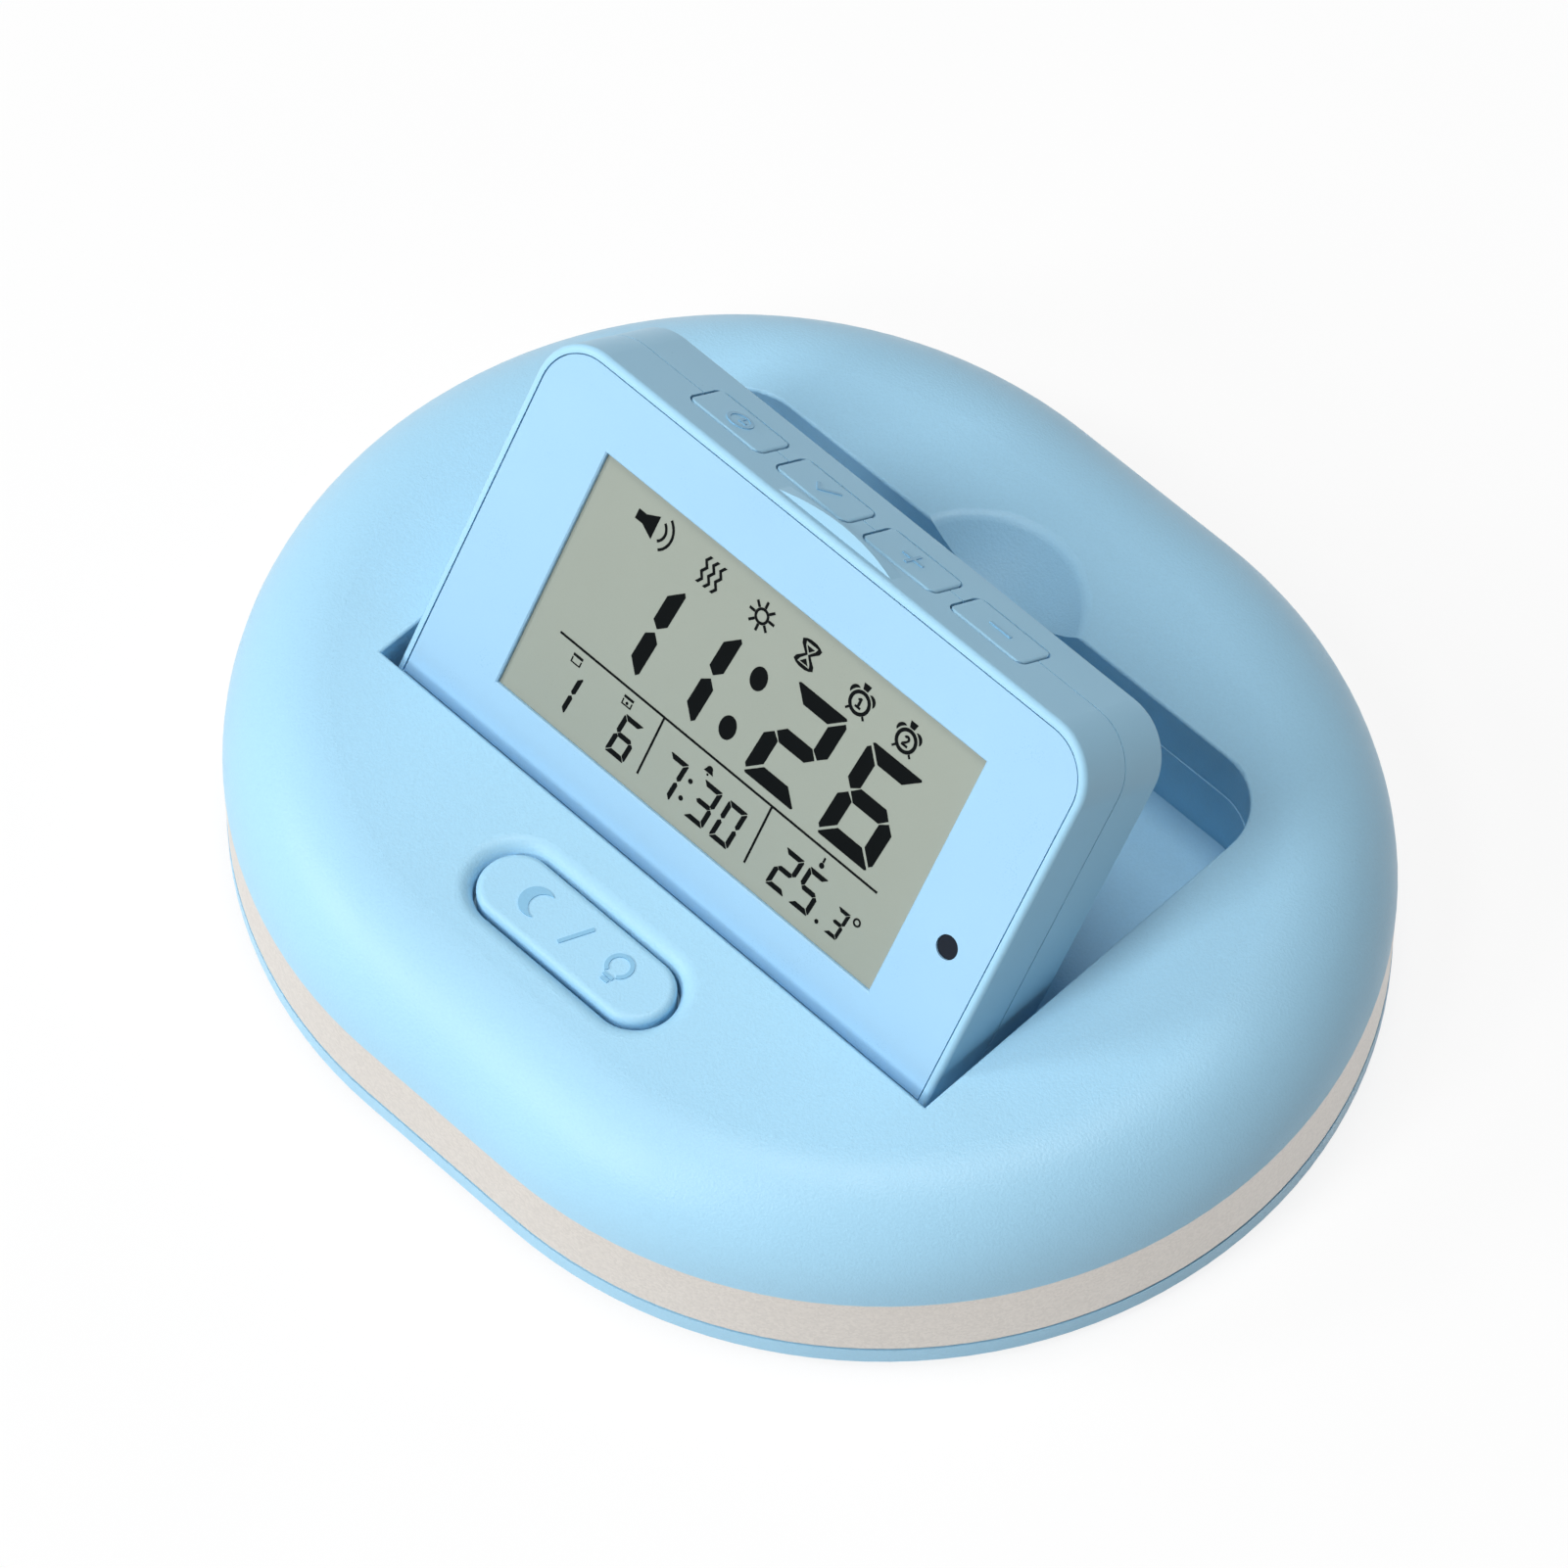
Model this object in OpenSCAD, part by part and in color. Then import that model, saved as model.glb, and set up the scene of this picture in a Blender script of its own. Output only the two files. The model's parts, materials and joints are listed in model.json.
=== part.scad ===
// Vibrating alarm clock: a low round-ended base with a display that folds up out of its top.
// Millimetres. +X runs to the right, +Y to the back and +Z up.
// The origin lies on the table, under the middle of the base.

/* [Base] */
// Length of the base from end to end
base_len = 120; // [108:1:136]
// Width of the base, which is also the diameter of its round ends
base_w = 100; // [90:1:112]
// Height of the base from its underside to the flat top
base_h = 20.7; // [20.7:0.1:25]
// Radius of the rounded edge of the top
edge_r = 11; // [9:0.5:12]
// Wall of the upper shell
cover_wall = 2; // [1.6:0.1:2.2]
// Thickness of the lower shell's floor
floor_t = 2; // [1.8:0.1:2.2]
// Height of the lower shell's visible edge
lip_h = 2.75; // [2.5:0.05:3.5]
// Height of the silver band
band_h = 7.8; // [6:0.1:8.2]
// Thickness of the silver band
band_t = 1.4; // [1:0.1:1.6]
// Thickness of the skirt behind the band
skirt_t = 1.8; // [1.4:0.1:2]
// Shadow groove between the band and the lower shell
groove = 0.3; // [0.2:0.05:0.5]

/* [Feet and base screws] */
// Height of the feet under the lower shell
foot_h = 0.8; // [0.5:0.1:1.5]
// Radius of a foot
foot_r = 4.5; // [3.5:0.1:5]
// Depth of the pocket that a foot sits in
foot_pocket = 0.8; // [0.5:0.1:1]
// Distance of a foot's middle from the base's end
foot_end = 26.5; // [25:0.5:28]
// Distance of a foot's middle from the base's long side
foot_side = 16.5; // [15:0.5:18]
// Distance of the base screws from the base's edge
screw_inset = 7.3; // [7:0.1:8]
// Angle of the base screws on the round ends
screw_angle = 38; // [36:1:42]
// Radius of a base screw's shank
screw_r = 1.2; // [1:0.1:1.4]
// Radius of a base screw's head
screw_head_r = 2.4; // [2:0.1:2.6]
// Length of a base screw's shank
screw_len = 9; // [7:0.5:11]

/* [Display well] */
// Length of the base beyond the well at each end, over the speaker and the main board
end_room = 23.3; // [22.6:0.1:24]
// Depth of the base in front of the well, over the cells
front_room = 28.6; // [28.5:0.1:30]
// Depth of the base behind the well, over the motor
back_room = 22.9; // [22:0.1:24]
// Depth of the well
well_depth = 15; // [14.5:0.1:15.4]
// Radius of the well's back corners
well_corner_r = 7; // [4:0.5:8]
// Rounding of the well's rim
well_round = 0.35; // [0.2:0.05:0.6]
// Step in the well's walls at the height of the hinge
well_step = 0.15; // [0.1:0.05:0.25]
// Distance of the finger scoop's middle from the well's back wall
scoop_in = 3.9; // [3:0.1:5]
// Radius of the finger scoop at the flat top
scoop_r = 10.7; // [9:0.1:12]
// Depth of the finger scoop at its middle
scoop_depth = 5; // [4:0.1:5.5]
// Rounding of the finger scoop's rim
scoop_edge = 1.6; // [1:0.1:2]

/* [Display] */
// Thickness of the display
disp_t = 13.2; // [13:0.1:13.6]
// Gap between the display and the well on each side
side_gap = 0.9; // [0.6:0.1:1.2]
// Distance of the hinge axis from the well's front wall
hinge_front = 5.85; // [5.7:0.05:6]
// Gap between the display's nose and the well's front wall
nose_gap = 0.45; // [0.4:0.05:0.6]
// Angle of the opened display above the flat top
open_angle = 55.5; // [50:0.5:57]
// Radius of the display's upper corners
disp_corner_r = 6; // [4:0.5:7]
// Rounding of the display's long edges
disp_edge_r = 0.6; // [0.4:0.1:0.9]
// Wall of the display's sides and back
disp_wall = 1.6; // [1.4:0.1:1.8]
// Wall of the display's top edge, which carries the keys
disp_top_wall = 2.2; // [2:0.1:2.4]
// Gap of the seam between the two halves
seam_gap = 0.15; // [0.1:0.05:0.25]
// Radius of a hinge pin
pin_r = 1.5; // [1.3:0.1:1.7]
// Running clearance of a hinge pin in its bore
pin_clear = 0.05; // [0.02:0.01:0.08]

/* [Face] */
// Width of the bright rim round the face
rim = 0.8; // [0.7:0.1:1.2]
// Gap between the rim and the face plate
plate_gap = 0.15; // [0.1:0.05:0.2]
// Thickness of the face plate
plate_t = 0.5; // [0.4:0.05:0.8]
// Width of the face on each side of the window
face_side = 10.7; // [10.4:0.1:12]
// Height of the face above the window
face_above = 8.15; // [8.1:0.05:8.6]
// Height of the face below the window, from the hinge axis
face_below = 6.4; // [6.2:0.1:8]
// Bevel round the window
window_bevel = 0.15; // [0.1:0.05:0.3]
// Glass hidden behind the face plate on each side of the window
glass_margin = 2; // [1.5:0.1:2.2]
// Thickness of the liquid crystal glass
glass_t = 1.9; // [1.6:0.1:2.2]
// Radius of the sensor's lens
lens_r = 1.2; // [1:0.1:1.5]
// Distance of the sensor's lens from the side of the window
lens_out = 5.2; // [4:0.1:6]
// Height of the sensor's lens above the lower edge of the window
lens_up = 9.2; // [6:0.1:14]

/* [Keys] */
// Length of a key
key_w = 9.3; // [8:0.1:9.6]
// Width of a key across the seam
key_t = 5.4; // [4:0.1:5.6]
// Distance from key to key
key_pitch = 11.45; // [11:0.05:12]
// Corner radius of a key
key_corner_r = 1; // [0.5:0.1:1.5]
// Height of a key above the display's top edge
key_proud = 0.1; // [0:0.05:0.3]
// Rounding of a key's upper edges
key_edge = 0.3; // [0.2:0.05:0.5]
// Gap round a key
key_gap = 0.22; // [0.2:0.01:0.3]
// Travel of a key
key_travel = 0.5; // [0.3:0.05:0.6]
// Half the width of the nail lip on the display's upper edge
nail_half_w = 7.4; // [6:0.1:8]
// Height of the nail lip
nail_h = 0.8; // [0.5:0.05:0.9]
// Distance of the nail lip behind the face
nail_set = 1; // [0.8:0.05:1.2]

/* [Snooze button] */
// Length of the snooze button
snooze_len = 24; // [22:0.5:28]
// Width of the snooze button
snooze_w = 7.8; // [7:0.1:8.4]
// Distance of the snooze button's middle from the base's front edge
snooze_inset = 18.8; // [18:0.1:19.2]
// Depth of the button's top below the flat top
snooze_sink = 0.1; // [0:0.05:0.5]
// Gap round the snooze button
snooze_gap = 0.35; // [0.3:0.05:0.5]
// Travel of the snooze button
snooze_travel = 0.8; // [0.5:0.1:0.9]
// Width of the dish round the snooze button
snooze_dish_run = 1.7; // [1.4:0.1:2.2]
// Depth of the dish at the button
snooze_dish = 1.3; // [0.5:0.05:1.4]

/* [Battery bay] */
// Diameter of a cell
cell_d = 10.2; // [10:0.1:10.3]
// Length of a cell with its nub
cell_len = 44.5; // [43:0.1:45]
// Room for a contact at each end of the cells
contact_room = 2; // [1.6:0.1:2.2]
// Gap round the battery door
door_gap = 0.3; // [0.25:0.05:0.4]
// Radius of a hinge stub of the battery door
stub_r = 0.55; // [0.5:0.05:0.6]

/* [Vibration motor] */
// Radius of the motor
motor_r = 6; // [5:0.1:6.2]
// Length of the motor
motor_len = 20; // [16:1:22]
// Distance of the motor's axis from the base's back edge
motor_inset = 12; // [11.6:0.1:12.5]
// Radius of the eccentric weight
weight_r = 6.5; // [5:0.1:6.8]
// Length of the eccentric weight
weight_len = 7; // [5:0.5:9]
// Radius of the motor's shaft
shaft_r = 1; // [0.8:0.1:1.2]
// Thickness of the rubber sleeve round the motor
sleeve_t = 1; // [0.8:0.1:1.2]

/* [Sounder and boards] */
// Radius of the speaker
speaker_r = 7.5; // [6.5:0.1:7.6]
// Height of the speaker
speaker_h = 4.5; // [3:0.1:5]
// Radius of a hole in the speaker's grille
grille_hole_r = 0.75; // [0.5:0.05:0.9]
// Thickness of the circuit boards
board_t = 1.6; // [1.2:0.1:1.6]
// Half the width of the main board
board_half_w = 20; // [18:0.5:20]
// Height of the posts under the main board
post_h = 3.2; // [2.6:0.1:4]

/* [Hidden] */
$fn = 64;

// Small values used everywhere
fit = 0.05;           // gap between pieces that are pushed together
run = 0.3;            // gap between pieces that move past each other
slack = 0.2;          // loose gap round screws, cells and keys
ease = 0.1;           // gap where a piece only has to drop in
past = 1;             // how far a cut runs past the face that it opens

// Colours
blue = [0.66, 0.86, 0.98];
face_blue = [0.70, 0.88, 1.0];
silver = [0.84, 0.83, 0.81];
dark = [0.10, 0.11, 0.13];
board_green = [0.13, 0.42, 0.27];
metal = [0.75, 0.75, 0.77];
brass_gold = [0.80, 0.65, 0.35];
soft_white = [0.92, 0.93, 0.92];

// Levels and plan of the base
end_r = base_w / 2;
end_c = (base_len - base_w) / 2;
z_under = foot_h;
z_floor = z_under + floor_t;
z_lip = z_under + lip_h;
z_band = z_lip + band_h;
z_top = z_under + base_h;
skirt_out = end_r - band_t - fit * 2;
skirt_in = skirt_out - skirt_t;
shoulder = 1.5;       // height of the solid ring where dome and skirt join

// Well and hinge
well_w = base_len - 2 * end_room;
well_front = end_r - front_room;
well_back = end_r - back_room;
scoop_y = well_back - scoop_in;
well_floor = z_top - well_depth;
disp_w = well_w - 2 * side_gap;
face_q = disp_t / 2;
hinge_y = hinge_front - well_front;
hinge_z = z_top - face_q;
disp_top = well_back - side_gap - hinge_y;
nose_r = hinge_front - nose_gap;
face_end = (face_q * sin(open_angle) - nose_r) / cos(open_angle);
pin_seat = 6;         // length of a pin inside the display
hinge_boss_r = 3.4;
hinge_boss_t = 1.6;
hinge_boss_x = well_w / 2 + cover_wall + hinge_boss_t;
pin_in = disp_w / 2 - pin_seat;
pin_out = hinge_boss_x - run;

// Layers of the display, from the face inwards
pocket_q = face_q - fit - plate_t;
front_wall_t = 1.3;
front_wall_q = pocket_q - front_wall_t;
glass_top = pocket_q - fit;
glass_low = glass_top - glass_t;
plate_low = face_end + rim * 0.75;
window_w = disp_w - 2 * face_side;
window_hi = disp_top - face_above;
window_lo = face_below;
window_h = window_hi - window_lo;
window_mid = (window_hi + window_lo) / 2;
glass_w = window_w + 2 * glass_margin;
glass_h = window_h + 2 * glass_margin;
frame_wall = 1.5;
frame_ledge = 0.6;
nose_top = window_lo - glass_margin - frame_wall - 2 * slack;    // where the solid nose ends
light_gap = 0.2;
light_h = 2.5;        // room for the light guide between glass and board
board_face = glass_low - light_h;
strip_h = 1.8;
hollow_top = disp_top - disp_top_wall;

// Sensor's lens, which sits on a shoulder in the front wall
lens_x = window_w / 2 + lens_out;
lens_p = window_lo + lens_up;
lens_seat = 0.7;
lens_sink = 0.2;

// Keys and their switches
key_flange = 0.7;     // thickness of the flange that keeps a key in
flange_over = 0.55;   // how far the flange reaches past the key
flange_top = hollow_top - slack;
flange_low = flange_top - key_flange;
stem_top = flange_low - key_travel - ease;
stem_h = 0.6;
switch_h = 2.6;
switch_w = 6;
switch_t = 3.4;
stem_w = 2.4;
stem_t = 1.5;
board_top = stem_top - stem_h - run;

// Screws of the display
disp_boss_r = 2;
disp_screw_x = disp_w / 2 - disp_wall - disp_boss_r - slack;
disp_screw_low = 3.2;
disp_screw_high = 4.4;
disp_screw_rows = [nose_top + disp_screw_low, hollow_top - disp_screw_high];
disp_screw_r = 0.9;
disp_head_r = 1.7;
disp_head_h = 1.2;
head_sink = 1.8;
pilot_stop = 0.6;     // front wall left over the end of a screw's hole
nail_land = 0.3;      // flat of the nail lip's ridge
nail_root = 0.4;      // how far the nail lip reaches into the wall under it

// Snooze button stack, from the top down
snooze_front = end_r - snooze_inset;
snooze_c = (snooze_len - snooze_w) / 2;
snooze_r = snooze_w / 2;
guide_h = 3.6;        // height of the guide round the button
guide_wall = 1.6;
guide_low = z_top - guide_h;
snooze_edge = 0.8;    // rounding of the button's top
snooze_lip = 0.8;     // how far the flange reaches past the button
snooze_flange = 0.8;
snooze_flange_top = guide_low - run;
snooze_low = snooze_flange_top - snooze_flange;
snooze_stem_top = snooze_low - snooze_travel - ease;
snooze_switch_h = 1.6;
snooze_board_t = 1;
snooze_board_top = snooze_stem_top - snooze_switch_h;
snooze_board_w = 8.4;
snooze_post_gap = 3.75;
snooze_post_x = snooze_c + snooze_r + snooze_post_gap;
snooze_post_in = 1.4; // how far the posts stand in front of the button, over the gap between the cells
snooze_post_y = -snooze_front - snooze_post_in;
snooze_post_r = 2;
snooze_pilot = 3.2;   // depth of a screw's hole in its post
snooze_bite = 2.8;    // length of a screw in its post
snooze_head_r = 1.5;
snooze_head_h = 0.4;

// Battery bay
bay_back = -(well_front + cover_wall);
cell_pitch = cell_d + slack;
cell_z = z_floor + ease + cell_d / 2;
cell_y = [bay_back - ease - cell_d / 2, bay_back - ease - cell_d / 2 - cell_pitch];
bay_front = cell_y[1] - cell_d / 2 - slack;
bay_half = cell_len / 2 + contact_room;
bay_wall = 1.5;
bay_wall_h = 9;
door_edge_r = floor_t / 2;
door_axis_y = bay_back - door_gap - door_edge_r;
door_axis_z = z_under + door_edge_r;
stub_len = 1.5;
nail_r = 4;           // finger nick in the floor in front of the door

// Motor
motor_y = end_r - motor_inset;
motor_z = z_floor + 2 * run + max(weight_r, motor_r + sleeve_t);
weight_gap = 2;       // shaft between the motor and the weight
shaft_tip = 0.5;      // shaft beyond the weight
shaft_in = 4;         // closed end of the motor behind the shaft
motor_x0 = -(motor_len + weight_len + weight_gap) / 2;
motor_x1 = motor_x0 + motor_len;
shaft_end = motor_x1 + weight_len + weight_gap;
bearing_h = 0.7;
hub_wall = 1.4;
sleeve_in = 2;        // motor that shows at each end of the sleeve
rib_t = 2;
rib_side = 1.2;       // rib on each side of the sleeve
rib_gap = 0.5;        // gap between the ribs and the motor's middle plane
rib_reach = motor_r + sleeve_t + rib_side;

// Speaker and main board at the two ends
speaker_wall = 1;     // ring that holds the speaker
speaker_side = 1.4;   // gap between the speaker and the skirt
speaker_x = -(end_c + skirt_in - speaker_r - speaker_side);
board_gap = 1.3;
board_edge = 1.2;
board_x0 = well_w / 2 + cover_wall + board_gap;
board_z = z_floor + post_h;
board_r = skirt_in - board_edge;
post_r = 2.2;
post_in = 3.5;
post_end = 6;
post_x = board_x0 + post_r + post_in;
post_y = board_half_w - post_end;
board_screw_r = 0.9;
board_head_r = 1.8;
board_head_h = 1;
board_tip = 0.4;      // hole left beyond a board screw
chip_w = 8;
chip_h = 1.4;
cap_r = 2.5;
cap_h = 5;
plug = [4, 6, 3];

// Base screws
screw_ring = end_r - screw_inset;
screw_x = end_c + screw_ring * cos(screw_angle);
screw_y = screw_ring * sin(screw_angle);
boss_r = 3.2;
boss_low = 3.2;       // height of the lower shell's part of a boss
boss_join = z_floor + boss_low;
head_h = 1.6;
head_deep = 0.9;      // how far a head lies below the underside
head_seat = z_under + head_h + head_deep;
pilot_spare = 0.5;    // hole left beyond a base screw

// Sweeps a profile of radius and height round a stadium whose ends lie at +c and -c
module stadium(c) {
    for (side = [1, -1])
        translate([side * c, 0, 0])
            rotate([0, 0, -90 * side])
                rotate_extrude(angle = 180)
                    children();
    rotate([90, 0, 90])
        linear_extrude(2 * c, center = true) {
            children();
            mirror([1, 0]) children();
        }
}

// Rectangle of a profile, from one radius to another and from one height to another
module span(r0, r1, z0, z1) {
    translate([r0, z0]) square([r1 - r0, z1 - z0]);
}

// Profile of the dome, drawn inwards by depth, from z_low up
module dome_profile(depth, z_low) {
    corner = end_r - edge_r;
    span(0, corner, z_low, z_top - depth);
    if (z_low < z_top - edge_r)
        span(0, end_r - depth, z_low, z_top - edge_r);
    intersection() {
        translate([corner, z_top - edge_r]) circle(edge_r - depth);
        span(corner - past, end_r, z_low, z_top);
    }
}

// Plan of the well, drawn outwards by grow
module well_plan(grow) {
    r = well_corner_r + grow;
    half = well_w / 2 + grow;
    back = well_back + grow;
    front = -well_front - grow;
    translate([-half, front]) square([2 * half, back - r - front]);
    translate([-half + r, front]) square([2 * (half - r), back - front]);
    for (side = [1, -1])
        translate([side * (half - r), back - r]) circle(r);
}

// Finger scoop: a spherical hollow with a rounded rim, turned about its own axis
module scoop_cut() {
    ball = (scoop_r * scoop_r + scoop_depth * scoop_depth) / (2 * scoop_depth);
    rise = ball - scoop_depth;
    // The rim's rounding touches the flat top and the ball from outside
    rim_run = sqrt((ball + scoop_edge) * (ball + scoop_edge) - (rise + scoop_edge) * (rise + scoop_edge));
    touch = ball / (ball + scoop_edge);
    touch_r = rim_run * touch;
    touch_z = rise - (rise + scoop_edge) * touch;
    translate([0, scoop_y, z_top])
        rotate_extrude()
            union() {
                intersection() {
                    translate([0, rise]) circle(ball);
                    span(0, touch_r, -scoop_depth - past, past);
                }
                difference() {
                    span(0, rim_run, touch_z, past);
                    translate([rim_run, -scoop_edge]) circle(scoop_edge);
                }
            }
}

// What the rounding of the well's rim takes away beside a wall at radius r0, from the top face down
module rim_profile(r0, inside) {
    translate([r0, 0])
        difference() {
            translate([-inside, -well_round]) square([inside + well_round, well_round + past]);
            translate([well_round, -well_round]) circle(well_round);
        }
}

// Dish round the snooze button: the flat top rolls down to the button's hole
module snooze_dish_cut() {
    end = snooze_r + snooze_gap + snooze_dish_run;
    roll = (snooze_dish_run * snooze_dish_run + snooze_dish * snooze_dish) / (2 * snooze_dish);
    translate([0, -snooze_front, z_top])
        stadium(snooze_c)
            difference() {
                span(0, end, -snooze_dish, past);
                translate([end, -roll]) circle(roll);
            }
}

// Rounded rim of the well: its straight sides, and arcs at its corners
module well_rim_cut() {
    r = well_corner_r + well_step;
    half = well_w / 2 + well_step;
    back = well_back + well_step;
    front = -well_front - well_step;
    for (side = [0, 1])
        mirror([side, 0, 0])
            translate([0, 0, z_top]) {
                translate([half - r, back - r, 0])
                    rotate_extrude(angle = 90) rim_profile(r, past);
                translate([half, back - r, 0])
                    rotate([90, 0, 0])
                        linear_extrude(back - r - front) rim_profile(0, past);
                translate([half, front, 0])
                    rotate([0, 0, -90])
                        rotate_extrude(angle = 90) rim_profile(0, 0);
                translate([0, back, 0])
                    rotate([90, 0, 90]) linear_extrude(half - r) rim_profile(0, past);
                translate([0, front, 0])
                    mirror([0, 1, 0])
                        rotate([90, 0, 90]) linear_extrude(half) rim_profile(0, past);
            }
}

// Puts its children at the four base screws
module at_base_screws() {
    for (sx = [1, -1], sy = [1, -1])
        translate([sx * screw_x, sy * screw_y, 0]) children();
}

// Ribs across the motor, from z0 to z1
module motor_ribs(z0, z1) {
    for (x = [motor_x0 + motor_len * 0.3, motor_x0 + motor_len * 0.7])
        translate([x - rib_t / 2, motor_y - rib_reach, z0])
            cube([rib_t, 2 * rib_reach, z1 - z0]);
}

// A cylinder along X from x0 to x1
module rod_x(r, x0, x1) {
    translate([x0, 0, 0]) rotate([0, 90, 0]) cylinder(r = r, h = x1 - x0);
}

// Upper shell: dome, skirt behind the band, walls of the well and bosses
module top_cover() {
    color(blue)
    difference() {
        union() {
            difference() {
                stadium(end_c) {
                    dome_profile(0, z_band);
                    span(0, skirt_out, z_floor, z_band + past);
                }
                stadium(end_c) {
                    dome_profile(cover_wall, z_band + shoulder);
                    span(0, skirt_in, z_floor - past, z_band + shoulder + past);
                }
            }
            intersection() {
                stadium(end_c) dome_profile(0, z_floor);
                cover_insides();
            }
        }
        translate([0, 0, well_floor])
            linear_extrude(well_depth + past) well_plan(0);
        translate([0, 0, hinge_z])
            linear_extrude(well_depth) well_plan(well_step);
        well_rim_cut();
        scoop_cut();
        snooze_dish_cut();
        translate([0, -snooze_front, 0])
            stadium(snooze_c) span(0, snooze_r + snooze_gap, guide_low - past, z_top + past);
        translate([0, hinge_y, hinge_z])
            for (side = [0, 1])
                mirror([side, 0, 0])
                    rod_x(pin_r + pin_clear, well_w / 2 - past, hinge_boss_x + past);
        at_base_screws()
            translate([0, 0, boss_join - past])
                cylinder(r = screw_r + fit, h = screw_len + head_seat - boss_join + past + pilot_spare);
        for (side = [1, -1])
            translate([side * snooze_post_x, snooze_post_y, snooze_board_top - past])
                cylinder(r = board_screw_r + fit, h = past + snooze_pilot);
        translate([0, motor_y, motor_z])
            rod_x(motor_r + sleeve_t + fit, motor_x0, motor_x1);
    }
}

// What stands inside the dome: well, scoop, button guide, posts, bosses and motor saddles
module cover_insides() {
    ball = (scoop_r * scoop_r + scoop_depth * scoop_depth) / (2 * scoop_depth);
    translate([0, 0, well_floor - cover_wall])
        linear_extrude(z_top - well_floor + cover_wall) well_plan(cover_wall);
    intersection() {
        translate([0, scoop_y, z_top + ball - scoop_depth]) sphere(ball + cover_wall);
        translate([-well_w / 2, well_back, well_floor])
            cube([well_w, scoop_r + scoop_y, z_top - well_floor]);
    }
    translate([0, -snooze_front, 0])
        stadium(snooze_c) span(0, snooze_r + snooze_gap + guide_wall, guide_low, z_top);
    for (side = [1, -1])
        translate([side * snooze_post_x, snooze_post_y, snooze_board_top])
            cylinder(r = snooze_post_r, h = z_top - snooze_board_top);
    at_base_screws()
        translate([0, 0, boss_join])
            cylinder(r = boss_r, h = z_top - boss_join);
    translate([0, hinge_y, hinge_z])
        for (side = [0, 1])
            mirror([side, 0, 0])
                rod_x(hinge_boss_r, well_w / 2 + cover_wall / 2, hinge_boss_x);
    motor_ribs(motor_z + rib_gap, z_top);
}

// Silver band between the two shells
module trim_band() {
    color(silver)
        stadium(end_c) span(end_r - band_t, end_r - fit, z_lip, z_band);
}

// Lower shell: floor, edge, battery bay, cradle of the motor and seats of the boards
module bottom_cover() {
    color(blue)
    difference() {
        union() {
            stadium(end_c) {
                difference() {
                    span(0, end_r, z_under, z_floor);
                    translate([end_r, z_under]) rotate(45) square(groove * 2, center = true);
                }
                difference() {
                    span(end_r - band_t, end_r, z_floor - past, z_lip);
                    span(end_r - groove, end_r + past, z_lip - groove, z_lip + past);
                    translate([end_r, z_under]) rotate(45) square(groove * 2, center = true);
                }
            }
            bottom_insides();
        }
        translate([-bay_half, bay_front, z_under - past])
            cube([2 * bay_half, bay_back - bay_front, floor_t + 2 * past]);
        translate([0, door_axis_y, door_axis_z])
            for (side = [0, 1])
                mirror([side, 0, 0])
                    rod_x(stub_r + pin_clear, bay_half - past, bay_half + stub_len);
        translate([0, bay_front, z_under]) cylinder(r = nail_r, h = floor_t * 0.4, center = true);
        at_base_screws() {
            translate([0, 0, z_under - past])
                cylinder(r = screw_head_r + slack, h = head_seat - z_under + past);
            translate([0, 0, z_under]) cylinder(r = screw_r + slack, h = boss_join);
        }
        at_feet()
            translate([0, 0, z_under - past]) cylinder(r = foot_r + fit, h = foot_pocket + past);
        translate([speaker_x, 0, z_under - past])
            grille_holes();
        for (side = [1, -1])
            translate([post_x, side * post_y, z_floor])
                cylinder(r = board_screw_r + fit, h = post_h + past);
        translate([0, motor_y, motor_z])
            rod_x(motor_r + sleeve_t + fit, motor_x0, motor_x1);
    }
}

// What stands on the lower shell's floor
module bottom_insides() {
    for (side = [0, 1])
        mirror([side, 0, 0])
            translate([bay_half, bay_front + cell_d * 0.25, z_floor - past])
                cube([bay_wall, bay_back - bay_front - cell_d * 0.25 - run, bay_wall_h + past]);
    at_base_screws()
        translate([0, 0, z_floor - past]) cylinder(r = boss_r, h = boss_join - z_floor + past);
    translate([speaker_x, 0, z_floor - past])
        difference() {
            cylinder(r = speaker_r + speaker_wall, h = speaker_h * 0.6 + past);
            cylinder(r = speaker_r + fit, h = speaker_h + past);
        }
    for (side = [1, -1])
        translate([post_x, side * post_y, z_floor - past])
            cylinder(r = post_r, h = post_h + past);
    motor_ribs(z_floor - past, motor_z - rib_gap);
}

// Holes of the speaker's grille: one in the middle and two rings round it
module grille_holes() {
    ring = speaker_r * 0.36;
    cylinder(r = grille_hole_r, h = floor_t + 2 * past);
    for (level = [1, 2], i = [0 : 6 * level - 1])
        rotate(i * 60 / level)
            translate([ring * level, 0, 0])
                cylinder(r = grille_hole_r, h = floor_t + 2 * past);
}

// Puts its children at the four feet
module at_feet() {
    for (sx = [1, -1], sy = [1, -1])
        translate([sx * (base_len / 2 - foot_end), sy * (end_r - foot_side), 0]) children();
}

// Four rubber feet with a rounded lower edge
module rubber_feet() {
    soft = foot_h * 0.5;
    color(dark)
        at_feet()
            rotate_extrude() {
                span(0, foot_r, soft, z_under + foot_pocket);
                span(0, foot_r - soft, 0, soft + fit);
                intersection() {
                    translate([foot_r - soft, soft]) circle(soft);
                    span(0, foot_r, 0, soft + fit);
                }
            }
}

// A pan-head screw that points up, with its head's seat at z = 0
module screw(r, length, head_r, head) {
    difference() {
        union() {
            cylinder(r = r, h = length);
            translate([0, 0, -head]) cylinder(r = head_r, h = head);
        }
        for (a = [0, 90])
            rotate(a)
                translate([0, 0, -head])
                    cube([head_r * 1.2, head_r * 0.3, head], center = true);
    }
}

module base_screws() {
    color(metal)
        at_base_screws()
            translate([0, 0, head_seat]) screw(screw_r, screw_len, screw_head_r, head_h);
}

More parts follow.
